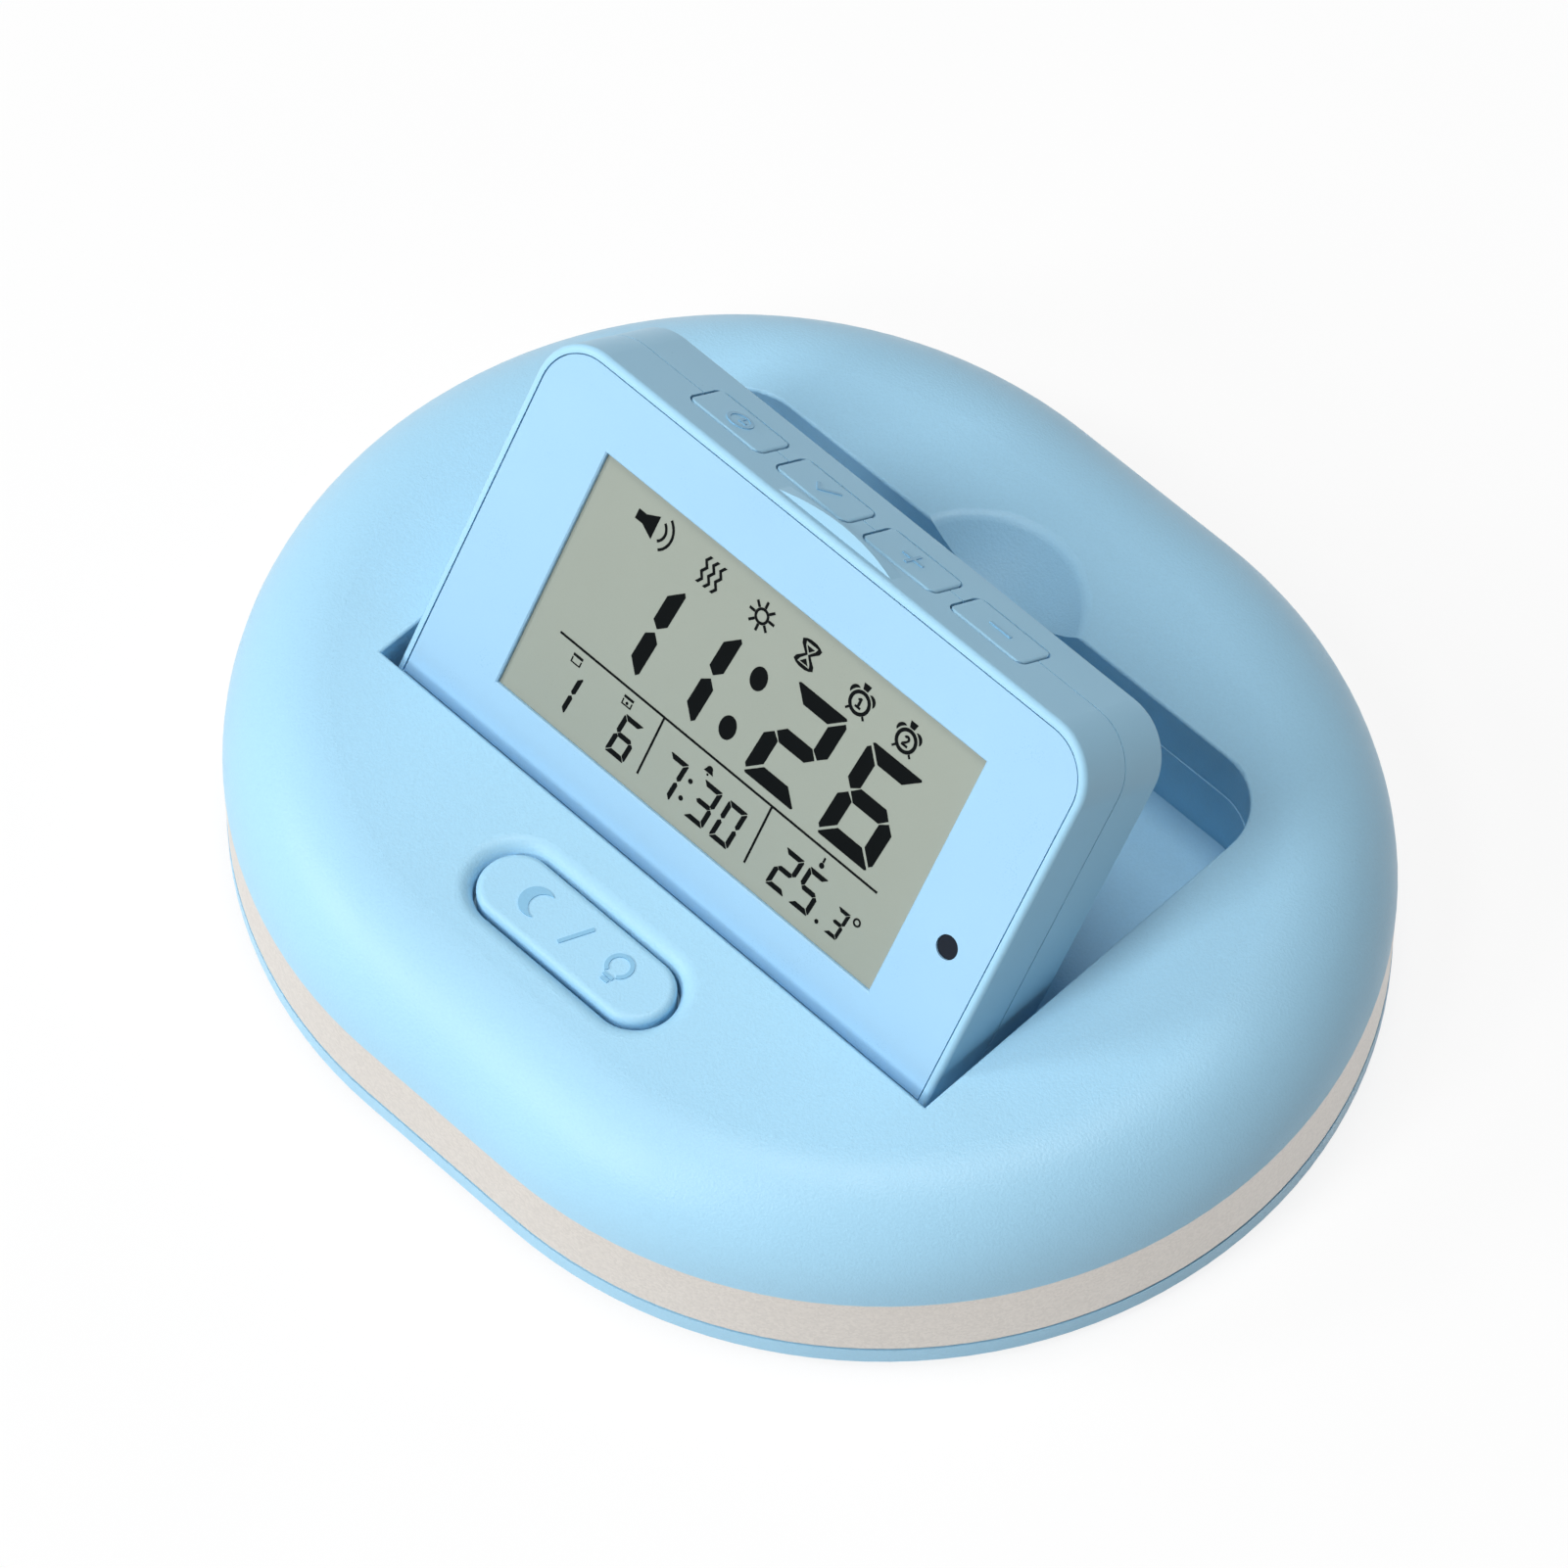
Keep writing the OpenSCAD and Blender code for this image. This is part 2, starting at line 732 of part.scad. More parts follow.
// Circuit board at the right end, cut to the round end, with its chip, capacitor and plug
module main_board() {
    color(board_green)
    difference() {
        union() {
            translate([0, 0, board_z])
                linear_extrude(board_t)
                    intersection() {
                        translate([end_c, 0]) circle(board_r);
                        translate([board_x0, -board_half_w]) square([board_r, 2 * board_half_w]);
                    }
            translate([0, 0, board_z + board_t / 2]) {
                translate([board_x0 + board_edge, -chip_w / 2, 0])
                    cube([chip_w, chip_w, board_t / 2 + chip_h]);
                translate([post_x, chip_w / 2 + cap_r + board_edge, 0])
                    cylinder(r = cap_r, h = board_t / 2 + cap_h);
                translate([board_x0 + board_edge, -chip_w / 2 - board_edge - plug[1], 0])
                    cube([plug[0], plug[1], board_t / 2 + plug[2]]);
            }
        }
        for (side = [1, -1])
            translate([post_x, side * post_y, board_z - past])
                cylinder(r = board_screw_r + ease, h = board_t + 2 * past);
    }
}

module board_screws() {
    color(metal)
        for (side = [1, -1])
            translate([post_x, side * post_y, board_z + board_t])
                mirror([0, 0, 1])
                    screw(board_screw_r, board_t + post_h - board_tip, board_head_r, board_head_h);
}

// Speaker: a steel frame with a stepped magnet
module speaker() {
    color(metal)
        translate([speaker_x, 0, z_floor]) {
            cylinder(r = speaker_r, h = speaker_h * 0.5);
            translate([0, 0, speaker_h * 0.5])
                cylinder(r1 = speaker_r, r2 = speaker_r * 0.7, h = speaker_h * 0.2);
            translate([0, 0, speaker_h * 0.7]) cylinder(r = speaker_r * 0.7, h = speaker_h * 0.3);
        }
}

// Two cells side by side, turned opposite ways
module battery_cells() {
    nub_r = 1.9;
    nub_h = 1;
    color(silver)
        for (i = [0, 1])
            translate([0, cell_y[i], cell_z])
                mirror([i, 0, 0]) {
                    rod_x(cell_d / 2, -cell_len / 2, cell_len / 2 - nub_h);
                    rod_x(nub_r, cell_len / 2 - nub_h, cell_len / 2);
                }
}

// Contacts: a plate at the nub and a conical spring at the flat end of each cell
module battery_contacts() {
    plate = 0.4;
    stud_r = 1.4;
    half = cell_d * 0.36;
    color(metal)
        for (i = [0, 1])
            translate([0, cell_y[i], cell_z])
                mirror([i, 0, 0]) {
                    translate([bay_half - plate, -half, -half]) cube([plate, 2 * half, 2 * half]);
                    rod_x(stud_r, cell_len / 2 + ease, bay_half - plate);
                    translate([-bay_half, -half, -half]) cube([plate, 2 * half, 2 * half]);
                    translate([-bay_half + plate, 0, 0])
                        rotate([0, 90, 0])
                            cylinder(r1 = half, r2 = half * 0.6, h = contact_room - plate - ease);
                }
}

// Battery door, which turns on two stubs along its inner edge
module battery_door() {
    half = bay_half - door_gap;
    low = bay_front + door_gap;
    grip_w = 12;
    grip_in = 4;
    grip_step = 1.6;
    grip_cut = 0.8;
    grip_deep = 0.4;
    color(blue)
    difference() {
        union() {
            translate([-half, low, z_under]) cube([2 * half, door_axis_y - low, floor_t]);
            translate([0, door_axis_y, door_axis_z]) {
                rod_x(door_edge_r, -half, half);
                rod_x(stub_r, -bay_half - stub_len + run, bay_half + stub_len - run);
            }
        }
        for (i = [0 : 3])
            translate([-grip_w / 2, low + grip_in + i * grip_step, z_under - past])
                cube([grip_w, grip_cut, past + grip_deep]);
    }
}

// Vibration motor with its end cap and bearing boss
module motor_can() {
    color(metal)
        translate([0, motor_y, motor_z])
            difference() {
                union() {
                    rod_x(motor_r, motor_x0, motor_x1);
                    rod_x(motor_r * 0.4, motor_x1 - past, motor_x1 + bearing_h);
                }
                rod_x(shaft_r + pin_clear, motor_x0 + shaft_in, motor_x1 + past);
            }
}

module motor_sleeve() {
    color(dark)
        translate([0, motor_y, motor_z])
            difference() {
                rod_x(motor_r + sleeve_t, motor_x0 + sleeve_in, motor_x1 - sleeve_in);
                rod_x(motor_r + fit, motor_x0, motor_x1);
            }
}

module motor_shaft() {
    color(metal)
        translate([0, motor_y, motor_z])
            rod_x(shaft_r, motor_x0 + shaft_in + run, shaft_end);
}

// Eccentric weight: a hub with a heavy half disc, which hangs down at rest
module eccentric_weight() {
    x0 = shaft_end - weight_len;
    color(brass_gold)
        translate([0, motor_y, motor_z])
            difference() {
                union() {
                    rod_x(shaft_r + hub_wall, x0, shaft_end - shaft_tip);
                    intersection() {
                        rod_x(weight_r, x0, shaft_end - shaft_tip);
                        translate([x0 - past, -weight_r, -weight_r])
                            cube([weight_len + past, 2 * weight_r, weight_r]);
                    }
                }
                rod_x(shaft_r + fit, x0 - past, shaft_end + past);
            }
}

// Snooze button: round-ended cap with a soft edge and a flange that keeps it in
module snooze_button() {
    top = z_top - snooze_sink;
    soft = snooze_edge;
    color(blue)
        translate([0, -snooze_front, 0])
            stadium(snooze_c) {
                span(0, snooze_r + snooze_lip, snooze_low, snooze_flange_top);
                span(0, snooze_r, snooze_flange_top - fit, top - soft);
                span(0, snooze_r - soft, top - soft - fit, top);
                intersection() {
                    translate([snooze_r - soft, top - soft]) circle(soft);
                    span(0, snooze_r, top - soft - fit, top);
                }
            }
}

module snooze_board() {
    half = snooze_post_x + snooze_post_r;
    color(board_green)
        translate([0, -snooze_front, snooze_board_top - snooze_board_t])
            difference() {
                translate([-half, -snooze_board_w / 2, 0]) cube([2 * half, snooze_board_w, snooze_board_t]);
                for (side = [1, -1])
                    translate([side * snooze_post_x, -snooze_post_in, -past])
                        cylinder(r = board_screw_r + ease, h = snooze_board_t + 2 * past);
            }
}

module snooze_switch() {
    body = 6;
    body_h = snooze_switch_h * 0.7;
    plunger_r = 1.6;
    color(dark)
        translate([0, -snooze_front, snooze_board_top]) {
            translate([-body / 2, -body / 2, 0]) cube([body, body, body_h]);
            cylinder(r = plunger_r, h = snooze_switch_h);
        }
}

module snooze_screws() {
    color(metal)
        for (side = [1, -1])
            translate([side * snooze_post_x, snooze_post_y, snooze_board_top - snooze_board_t])
                screw(board_screw_r, snooze_board_t + snooze_bite, snooze_head_r, snooze_head_h);
}

// Moves the display from its own frame, where it lies flat with the hinge axis at the
// origin and its face up, to its opened place
module opened() {
    translate([0, hinge_y, hinge_z])
        rotate([open_angle, 0, 0])
            children();
}

// Edge profile of the display: a flat bar whose outer corners are rounded
module bar_profile(reach) {
    round = disp_edge_r;
    span(0, reach - round, -face_q, face_q);
    span(0, reach, -face_q + round, face_q - round);
    for (side = [1, -1])
        translate([reach - round, side * (face_q - round)]) circle(round);
}

// Slab with two rounded upper corners and rounded long edges
module display_slab() {
    r = disp_corner_r;
    half = disp_w / 2 - r;
    low = -nose_r - past;
    high = disp_top - r;
    for (side = [0, 1])
        mirror([side, 0, 0])
            translate([half, high, 0]) {
                rotate_extrude(angle = 90) bar_profile(r);
                rotate([90, 0, 0]) linear_extrude(high - low) bar_profile(r);
            }
    translate([-half, high, 0])
        rotate([90, 0, 90])
            linear_extrude(2 * half) bar_profile(r);
    translate([-half, low, -face_q]) cube([2 * half, high - low, disp_t]);
}

// Side view of the display: the slab narrows in two flats to a round nose on the hinge axis
module nose_section() {
    tx = -nose_r * cos(open_angle);
    ty = nose_r * sin(open_angle);
    circle(nose_r);
    polygon([[face_end, face_q], [tx, ty], [tx, -ty], [face_end, -face_q]]);
    translate([face_end, -face_q]) square([disp_top - face_end + past, disp_t]);
}

module display_blank() {
    intersection() {
        display_slab();
        rotate([90, 0, 90])
            linear_extrude(disp_w + past, center = true) nose_section();
    }
}

// Outline of the face plate, drawn inwards from the display's edge
module plate_plan(inset, low) {
    half = disp_w / 2 - inset;
    high = disp_top - inset;
    r = disp_corner_r - inset;
    translate([-half, low]) square([2 * half, high - r - low]);
    translate([-half + r, low]) square([2 * (half - r), high - low]);
    for (side = [1, -1])
        translate([side * (half - r), high - r]) circle(r);
}

// Hollow of the display between two levels
module hollow(q0, q1) {
    half = disp_w / 2 - disp_wall;
    r = disp_corner_r - disp_wall;
    translate([0, 0, q0])
        linear_extrude(q1 - q0) {
            translate([-half, nose_top]) square([2 * half, hollow_top - r - nose_top]);
            translate([-half + r, nose_top]) square([2 * (half - r), hollow_top - nose_top]);
            for (side = [1, -1])
                translate([side * (half - r), hollow_top - r]) circle(r);
        }
}

// Puts its children at the four screws of the display
module at_display_screws() {
    for (side = [1, -1], row = disp_screw_rows)
        translate([side * disp_screw_x, row, 0]) children();
}

// Seats of the two hinge pins
module pin_seats() {
    for (side = [0, 1])
        mirror([side, 0, 0]) rod_x(pin_r + fit / 2, pin_in - slack, disp_w / 2 + past);
}

// Place of a key along the top edge, counted from the left
function key_x(i) = (i - 1.5) * key_pitch;

// A round-cornered bar that stands along the display's height, from p0 to p1
module key_bar(grow, p0, p1) {
    r = key_corner_r + grow;
    w = key_w + 2 * grow;
    t = key_t + 2 * grow;
    translate([0, p1, 0])
        rotate([90, 0, 0])
            linear_extrude(p1 - p0) {
                square([w - 2 * r, t], center = true);
                square([w, t - 2 * r], center = true);
                for (sx = [1, -1], sy = [1, -1])
                    translate([sx * (w / 2 - r), sy * (t / 2 - r)]) circle(r);
            }
}

module key_holes() {
    for (i = [0 : 3])
        translate([key_x(i), 0, 0]) key_bar(key_gap, hollow_top - past, disp_top + past);
}

// Nail lip on the upper edge: a low ridge with sloped sides, and an arc for its outline
module nail_lip() {
    arc_r = (nail_half_w * nail_half_w + nail_h * nail_h) / (2 * nail_h);
    foot = face_q - nail_set;
    ridge = foot - nail_h;
    back = ridge - nail_land - nail_h;
    root = disp_top - nail_root;
    high = disp_top + nail_h;
    intersection() {
        translate([-nail_half_w, 0, 0])
            rotate([90, 0, 90])
                linear_extrude(2 * nail_half_w)
                    polygon([[root, foot], [disp_top, foot], [high, ridge],
                             [high, ridge - nail_land], [disp_top, back], [root, back]]);
        translate([0, high - arc_r, 0]) cylinder(r = arc_r, h = face_q);
    }
}

// Front half of the display with the pocket of the face plate
module display_front() {
    color(blue)
    opened()
    difference() {
        union() {
            difference() {
                intersection() {
                    display_blank();
                    translate([-disp_w, -disp_w, 0]) cube([2 * disp_w, 2 * disp_w, disp_t]);
                }
                hollow(-past, front_wall_q);
            }
            at_display_screws() cylinder(r = disp_boss_r, h = front_wall_q + fit);
            nail_lip();
        }
        translate([0, 0, pocket_q]) linear_extrude(disp_t) plate_plan(rim, plate_low);
        translate([-glass_w / 2 - fit, window_lo - glass_margin - fit, front_wall_q - past])
            cube([glass_w + 2 * fit, glass_h + 2 * fit, disp_t]);
        translate([lens_x, lens_p, pocket_q - lens_seat]) cylinder(r = lens_r + fit, h = disp_t);
        translate([lens_x, lens_p, 0]) cylinder(r = lens_r * 0.6, h = disp_t);
        at_display_screws()
            translate([0, 0, -past]) cylinder(r = disp_screw_r + fit, h = past + front_wall_q - pilot_stop);
        key_holes();
        pin_seats();
    }
}

// Rear half of the display, with its screw wells
module display_rear() {
    color(blue)
    opened()
    difference() {
        union() {
            difference() {
                intersection() {
                    display_blank();
                    union() {
                        translate([-disp_w, -disp_w, -disp_t]) {
                            cube([2 * disp_w, 2 * disp_w, disp_t - seam_gap]);
                            cube([2 * disp_w, disp_w + nose_top, disp_t]);
                        }
                    }
                }
                hollow(-face_q + disp_wall, past);
            }
            at_display_screws()
                translate([0, 0, -face_q + disp_wall / 2])
                    cylinder(r = disp_boss_r, h = face_q - disp_wall / 2);
        }
        at_display_screws() {
            translate([0, 0, -face_q - past]) cylinder(r = disp_head_r, h = head_sink + past);
            translate([0, 0, -face_q]) cylinder(r = disp_screw_r + ease, h = disp_t);
        }
        key_holes();
        pin_seats();
    }
}

// Face plate with the bevelled window and the hole of the sensor
module front_plate() {
    half_w = window_w / 2;
    half_h = window_h / 2;
    deep = plate_t + past;
    wide = window_bevel + past;
    color(face_blue)
    opened()
    translate([0, 0, pocket_q])
    difference() {
        linear_extrude(plate_t) plate_plan(rim + plate_gap, plate_low + plate_gap);
        translate([-half_w, window_lo, -past]) cube([window_w, window_h, deep + past]);
        translate([0, window_mid, plate_t])
            intersection() {
                rotate([90, 0, 0])
                    linear_extrude(window_h * 2, center = true)
                        bevel_plan(half_w, wide);
                rotate([90, 0, 90])
                    linear_extrude(window_w * 2, center = true)
                        bevel_plan(half_h, wide);
            }
        translate([lens_x, lens_p, -past]) cylinder(r = lens_r + fit, h = deep + past);
    }
}

// Trapezium that widens upwards from half at the bevel's foot
module bevel_plan(half, wide) {
    polygon([[-half, -window_bevel], [half, -window_bevel],
             [half + wide, wide - window_bevel], [-half - wide, wide - window_bevel]]);
}

// Dark lens of the light sensor, pushed in from the front to a little below the face
module sensor_lens() {
    color(dark)
    opened()
    translate([lens_x, lens_p, pocket_q - lens_seat])
        cylinder(r = lens_r, h = plate_t + lens_seat - lens_sink);
}

module lcd_panel() {
    color([0.66, 0.70, 0.65])
    opened()
    translate([-glass_w / 2, window_lo - glass_margin, glass_low])
        cube([glass_w, glass_h, glass_t]);
}

// Frame behind the glass: an outer wall up to the front half and a ledge under the glass
module lcd_frame() {
    outer = [glass_w + 2 * frame_wall, glass_h + 2 * frame_wall];
    color(soft_white)
    opened()
    translate([0, window_mid, board_face])
    difference() {
        translate([-outer[0] / 2, -outer[1] / 2, 0])
            cube([outer[0], outer[1], front_wall_q - board_face]);
        translate([-glass_w / 2 - fit, -glass_h / 2 - fit, glass_low - board_face])
            cube([glass_w + 2 * fit, glass_h + 2 * fit, disp_t]);
        translate([-glass_w / 2 + frame_ledge, -glass_h / 2 + frame_ledge, -past])
            cube([glass_w - 2 * frame_ledge, glass_h - 2 * frame_ledge, disp_t]);
    }
}

// Contact strip along the lower edge of the glass, between glass and board
module contact_strip() {
    half = glass_w / 2 - frame_ledge - light_gap;
    low = window_lo - glass_margin + frame_ledge + light_gap;
    color([0.75, 0.60, 0.62])
    opened()
    translate([-half, low, board_face])
        cube([2 * half, strip_h, glass_low - board_face]);
}

// Light guide behind the glass
module backlight() {
    half = glass_w / 2 - frame_ledge - light_gap;
    low = window_lo - glass_margin + frame_ledge + strip_h + 2 * light_gap;
    high = window_hi + glass_margin - frame_ledge - light_gap;
    color([0.93, 0.97, 0.90])
    opened()
    translate([-half, low, board_face])
        cube([2 * half, high - low, glass_low - board_face - light_gap]);
}

module display_board() {
    half = glass_w / 2 + frame_wall;
    low = window_lo - glass_margin - frame_wall + run;
    blob_r = 5;
    blob_h = 0.9;
    color(board_green)
    opened() {
        translate([-half, low, board_face - board_t])
            cube([2 * half, board_top - low, board_t]);
        translate([0, window_mid, board_face - board_t - blob_h])
            cylinder(r = blob_r, h = board_t);
    }
}

// Four side switches on the back of the display's board
module key_switches() {
    color(dark)
    opened()
    for (i = [0 : 3])
        translate([key_x(i), 0, board_face - board_t - switch_t]) {
            translate([-switch_w / 2, stem_top - stem_h - switch_h, 0])
                cube([switch_w, switch_h, switch_t]);
            translate([-stem_w / 2, stem_top - stem_h - fit, (switch_t - stem_t) / 2])
                cube([stem_w, stem_h + fit, stem_t]);
        }
}

module display_screws() {
    color(metal)
    opened()
    at_display_screws()
        translate([0, 0, -face_q + head_sink])
            screw(disp_screw_r, face_q - head_sink + front_wall_q - 2 * pilot_stop,
                  disp_head_r - ease, disp_head_h);
}

module hinge_pins() {
    color(metal)
    opened()
    for (side = [0, 1])
        mirror([side, 0, 0]) rod_x(pin_r, pin_in, pin_out);
}

// Front view of a key's cap, whose two upper edges are rounded
module crowned(w, p0, p1) {
    translate([-w / 2, p0]) square([w, p1 - key_edge - p0]);
    translate([-w / 2 + key_edge, p0]) square([w - 2 * key_edge, p1 - p0]);
    for (side = [1, -1])
        translate([side * (w / 2 - key_edge), p1 - key_edge]) circle(key_edge);
}

// One key: a round-cornered cap with soft upper edges, on a flange behind the top edge
module key(i) {
    low = flange_top - fit;
    high = disp_top + key_proud;
    color(blue)
    opened()
    translate([key_x(i), 0, 0]) {
        intersection() {
            key_bar(0, low, high);
            linear_extrude(2 * key_t, center = true) crowned(key_w, low, high);
            rotate([0, 90, 0]) linear_extrude(2 * key_w, center = true) crowned(key_t, low, high);
        }
        key_bar(flange_over, flange_low, flange_top);
    }
}

module key_mode() { key(0); }
module key_set() { key(1); }
module key_plus() { key(2); }
module key_minus() { key(3); }

top_cover();
trim_band();
bottom_cover();
rubber_feet();
base_screws();
main_board();
board_screws();
speaker();
battery_cells();
battery_contacts();
battery_door();
motor_can();
motor_sleeve();
motor_shaft();
eccentric_weight();
snooze_button();
snooze_board();
snooze_switch();
snooze_screws();
display_front();
display_rear();
front_plate();
sensor_lens();
lcd_panel();
lcd_frame();
backlight();
contact_strip();
display_board();
key_switches();
display_screws();
hinge_pins();
key_mode();
key_set();
key_plus();
key_minus();
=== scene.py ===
import json
import math

import bpy
from mathutils import Matrix, Vector


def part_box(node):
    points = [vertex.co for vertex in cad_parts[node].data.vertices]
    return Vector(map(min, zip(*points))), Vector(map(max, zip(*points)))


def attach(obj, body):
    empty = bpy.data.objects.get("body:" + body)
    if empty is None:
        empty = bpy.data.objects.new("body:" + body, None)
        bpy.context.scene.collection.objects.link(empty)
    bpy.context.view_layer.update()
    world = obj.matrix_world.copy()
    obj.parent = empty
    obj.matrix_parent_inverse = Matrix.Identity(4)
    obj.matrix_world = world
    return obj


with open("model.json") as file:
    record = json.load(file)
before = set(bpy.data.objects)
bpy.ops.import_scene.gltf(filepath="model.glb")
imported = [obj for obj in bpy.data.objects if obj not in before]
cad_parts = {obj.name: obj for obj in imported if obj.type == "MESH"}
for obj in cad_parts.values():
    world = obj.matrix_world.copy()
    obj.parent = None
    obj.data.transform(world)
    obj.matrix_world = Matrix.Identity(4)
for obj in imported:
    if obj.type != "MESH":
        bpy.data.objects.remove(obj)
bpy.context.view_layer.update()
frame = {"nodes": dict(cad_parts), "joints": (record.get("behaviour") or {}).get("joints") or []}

# Lower shell and battery door: light blue ABS, moulded in a cavity with a fine spark texture.
# The shell carries everything inside, and its edge shows as a thin line under the silver band.
MM = 0.001


def tint(red, green, blue):
    """A screen colour from 0 to 255 as the linear colour that a shader takes."""
    linear = [c / 12.92 if c <= 0.04045 else ((c + 0.055) / 1.055) ** 2.4
              for c in (red / 255, green / 255, blue / 255)]
    return (*linear, 1.0)


def put(tree, kind, **settings):
    """Adds a node; settings are its properties or, with a trailing underscore, its inputs."""
    node = tree.nodes.new(kind)
    for name, value in settings.items():
        if name.endswith("_"):
            node.inputs[name[:-1].replace("_", " ")].default_value = value
        else:
            setattr(node, name, value)
    return node


def effect(name, inputs, outputs):
    """A new shader node group; sockets are named with their kind, Color or Float."""
    group = bpy.data.node_groups.new(name, "ShaderNodeTree")
    for in_out, sockets in (("INPUT", inputs), ("OUTPUT", outputs)):
        for socket, kind in sockets.items():
            group.interface.new_socket(socket, in_out=in_out, socket_type="NodeSocket" + kind)
    return group, put(group, "NodeGroupInput"), put(group, "NodeGroupOutput")


def surface(name, group, bump=0.0, depth=0.05 * MM, **sockets):
    """A material from an effect: its outputs drive the Principled shader, other sockets are set."""
    mat = bpy.data.materials.new(name)
    mat.use_nodes = True
    tree = mat.node_tree
    shader = tree.nodes["Principled BSDF"]
    skin = put(tree, "ShaderNodeGroup", node_tree=group)
    for socket, value in sockets.items():
        socket = socket.replace("_", " ")
        (skin if socket in skin.inputs else shader).inputs[socket].default_value = value
    for output in skin.outputs:
        if output.name == "Height":
            bumps = put(tree, "ShaderNodeBump", Strength_=bump, Distance_=depth)
            tree.links.new(output, bumps.inputs["Height"])
            tree.links.new(bumps.outputs["Normal"], shader.inputs["Normal"])
        else:
            socket = "Base Color" if output.name == "Colour" else output.name
            tree.links.new(output, shader.inputs[socket])
    return mat


def finish(mat, *nodes):
    """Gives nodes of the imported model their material."""
    for node in nodes:
        slots = frame["nodes"][node].data.materials
        slots.clear()
        slots.append(mat)


def spread(tree, low, high):
    """Stretches the middle of a noise so that it runs from low to high."""
    return put(tree, "ShaderNodeMapRange", From_Min_=0.3, From_Max_=0.7, To_Min_=low, To_Max_=high)


def make_moulded_skin():
    """Moulded plastic: a slow drift of tone, fine flecks, a varying gloss and a grain."""
    noise_mean, glint_share = 0.5, 0.25
    group, given, result = effect(
        "moulded_skin",
        {"Colour": "Color", "Grain": "Float", "Fleck": "Float", "Matt": "Float"},
        {"Colour": "Color", "Roughness": "Float", "Height": "Float"})
    where = put(group, "ShaderNodeTexCoord")
    pits = put(group, "ShaderNodeTexNoise", Detail_=2.0, Roughness_=0.6)
    drift = put(group, "ShaderNodeTexNoise", Scale_=28.0, Detail_=3.0)
    smudge = put(group, "ShaderNodeTexNoise", Scale_=160.0, Detail_=4.0)
    slow = spread(group, 0.975, 1.02)
    fleck = put(group, "ShaderNodeMath", operation="MULTIPLY_ADD")
    shade = put(group, "ShaderNodeHueSaturation")
    centred = put(group, "ShaderNodeMath", operation="SUBTRACT")
    centred.inputs[1].default_value = noise_mean
    wear = spread(group, -0.045, 0.045)
    glint = put(group, "ShaderNodeMath", operation="MULTIPLY_ADD")
    glint.inputs[1].default_value = glint_share
    matt = put(group, "ShaderNodeMath", operation="ADD")
    link = group.links.new
    for noise in (pits, drift, smudge):
        link(where.outputs["Object"], noise.inputs["Vector"])
    link(given.outputs["Grain"], pits.inputs["Scale"])
    link(pits.outputs["Fac"], centred.inputs[0])
    link(drift.outputs["Fac"], slow.inputs["Value"])
    link(centred.outputs[0], fleck.inputs[0])
    link(given.outputs["Fleck"], fleck.inputs[1])
    link(slow.outputs["Result"], fleck.inputs[2])
    link(given.outputs["Colour"], shade.inputs["Color"])
    link(fleck.outputs[0], shade.inputs["Value"])
    link(smudge.outputs["Fac"], wear.inputs["Value"])
    link(centred.outputs[0], glint.inputs[0])
    link(wear.outputs["Result"], glint.inputs[2])
    link(glint.outputs[0], matt.inputs[0])
    link(given.outputs["Matt"], matt.inputs[1])
    link(shade.outputs["Color"], result.inputs["Colour"])
    link(matt.outputs[0], result.inputs["Roughness"])
    link(pits.outputs["Fac"], result.inputs["Height"])
    return group


moulded_skin = make_moulded_skin()
sky_blue = tint(165, 212, 238)
spark_grain = 3600.0
blue_shell = surface("blue_shell", moulded_skin, bump=0.9, Colour=sky_blue,
                     Grain=spark_grain, Fleck=0.10, Matt=0.36, Specular_IOR_Level=0.26)
finish(blue_shell, "bottom_cover", "battery_door")

# Feet and motor sleeve: black silicone rubber, moulded matt. The feet are glued into pockets
# of the lower shell, and the sleeve keeps the motor's shaking from rattling in its cradle.
black_rubber = surface("black_rubber", moulded_skin, bump=0.3, Colour=tint(48, 50, 54),
                       Grain=2400.0, Fleck=0.3, Matt=0.72)
finish(black_rubber, "rubber_feet", "motor_sleeve")

# Screws, hinge pins, motor and contacts: drawn and cut steel with a thin plated coat.
# Screws hold the shells and boards, and the pins are pressed into the display.


def make_plated_metal():
    """Plated metal: fine marks of drawing and cutting, and a coat that is duller in places."""
    mark_stretch, mark_share = (6.0, 1.0, 1.0), 0.16
    group, given, result = effect(
        "plated_metal", {"Colour": "Color", "Dull": "Float"},
        {"Colour": "Color", "Roughness": "Float", "Height": "Float"})
    where = put(group, "ShaderNodeTexCoord")
    long_marks = put(group, "ShaderNodeMapping", vector_type="TEXTURE")
    long_marks.inputs["Scale"].default_value = mark_stretch
    marks = put(group, "ShaderNodeTexNoise", Scale_=4200.0, Detail_=3.0)
    cloud = put(group, "ShaderNodeTexNoise", Scale_=420.0, Detail_=3.0)
    tone = spread(group, 0.86, 1.06)
    shade = put(group, "ShaderNodeHueSaturation")
    dull = put(group, "ShaderNodeMath", operation="MULTIPLY_ADD")
    dull.inputs[1].default_value = mark_share
    link = group.links.new
    link(where.outputs["Object"], long_marks.inputs["Vector"])
    link(long_marks.outputs["Vector"], marks.inputs["Vector"])
    link(where.outputs["Object"], cloud.inputs["Vector"])
    link(cloud.outputs["Fac"], tone.inputs["Value"])
    link(tone.outputs["Result"], shade.inputs["Value"])
    link(given.outputs["Colour"], shade.inputs["Color"])
    link(marks.outputs["Fac"], dull.inputs[0])
    link(given.outputs["Dull"], dull.inputs[2])
    link(shade.outputs["Color"], result.inputs["Colour"])
    link(dull.outputs[0], result.inputs["Roughness"])
    link(marks.outputs["Fac"], result.inputs["Height"])
    return group


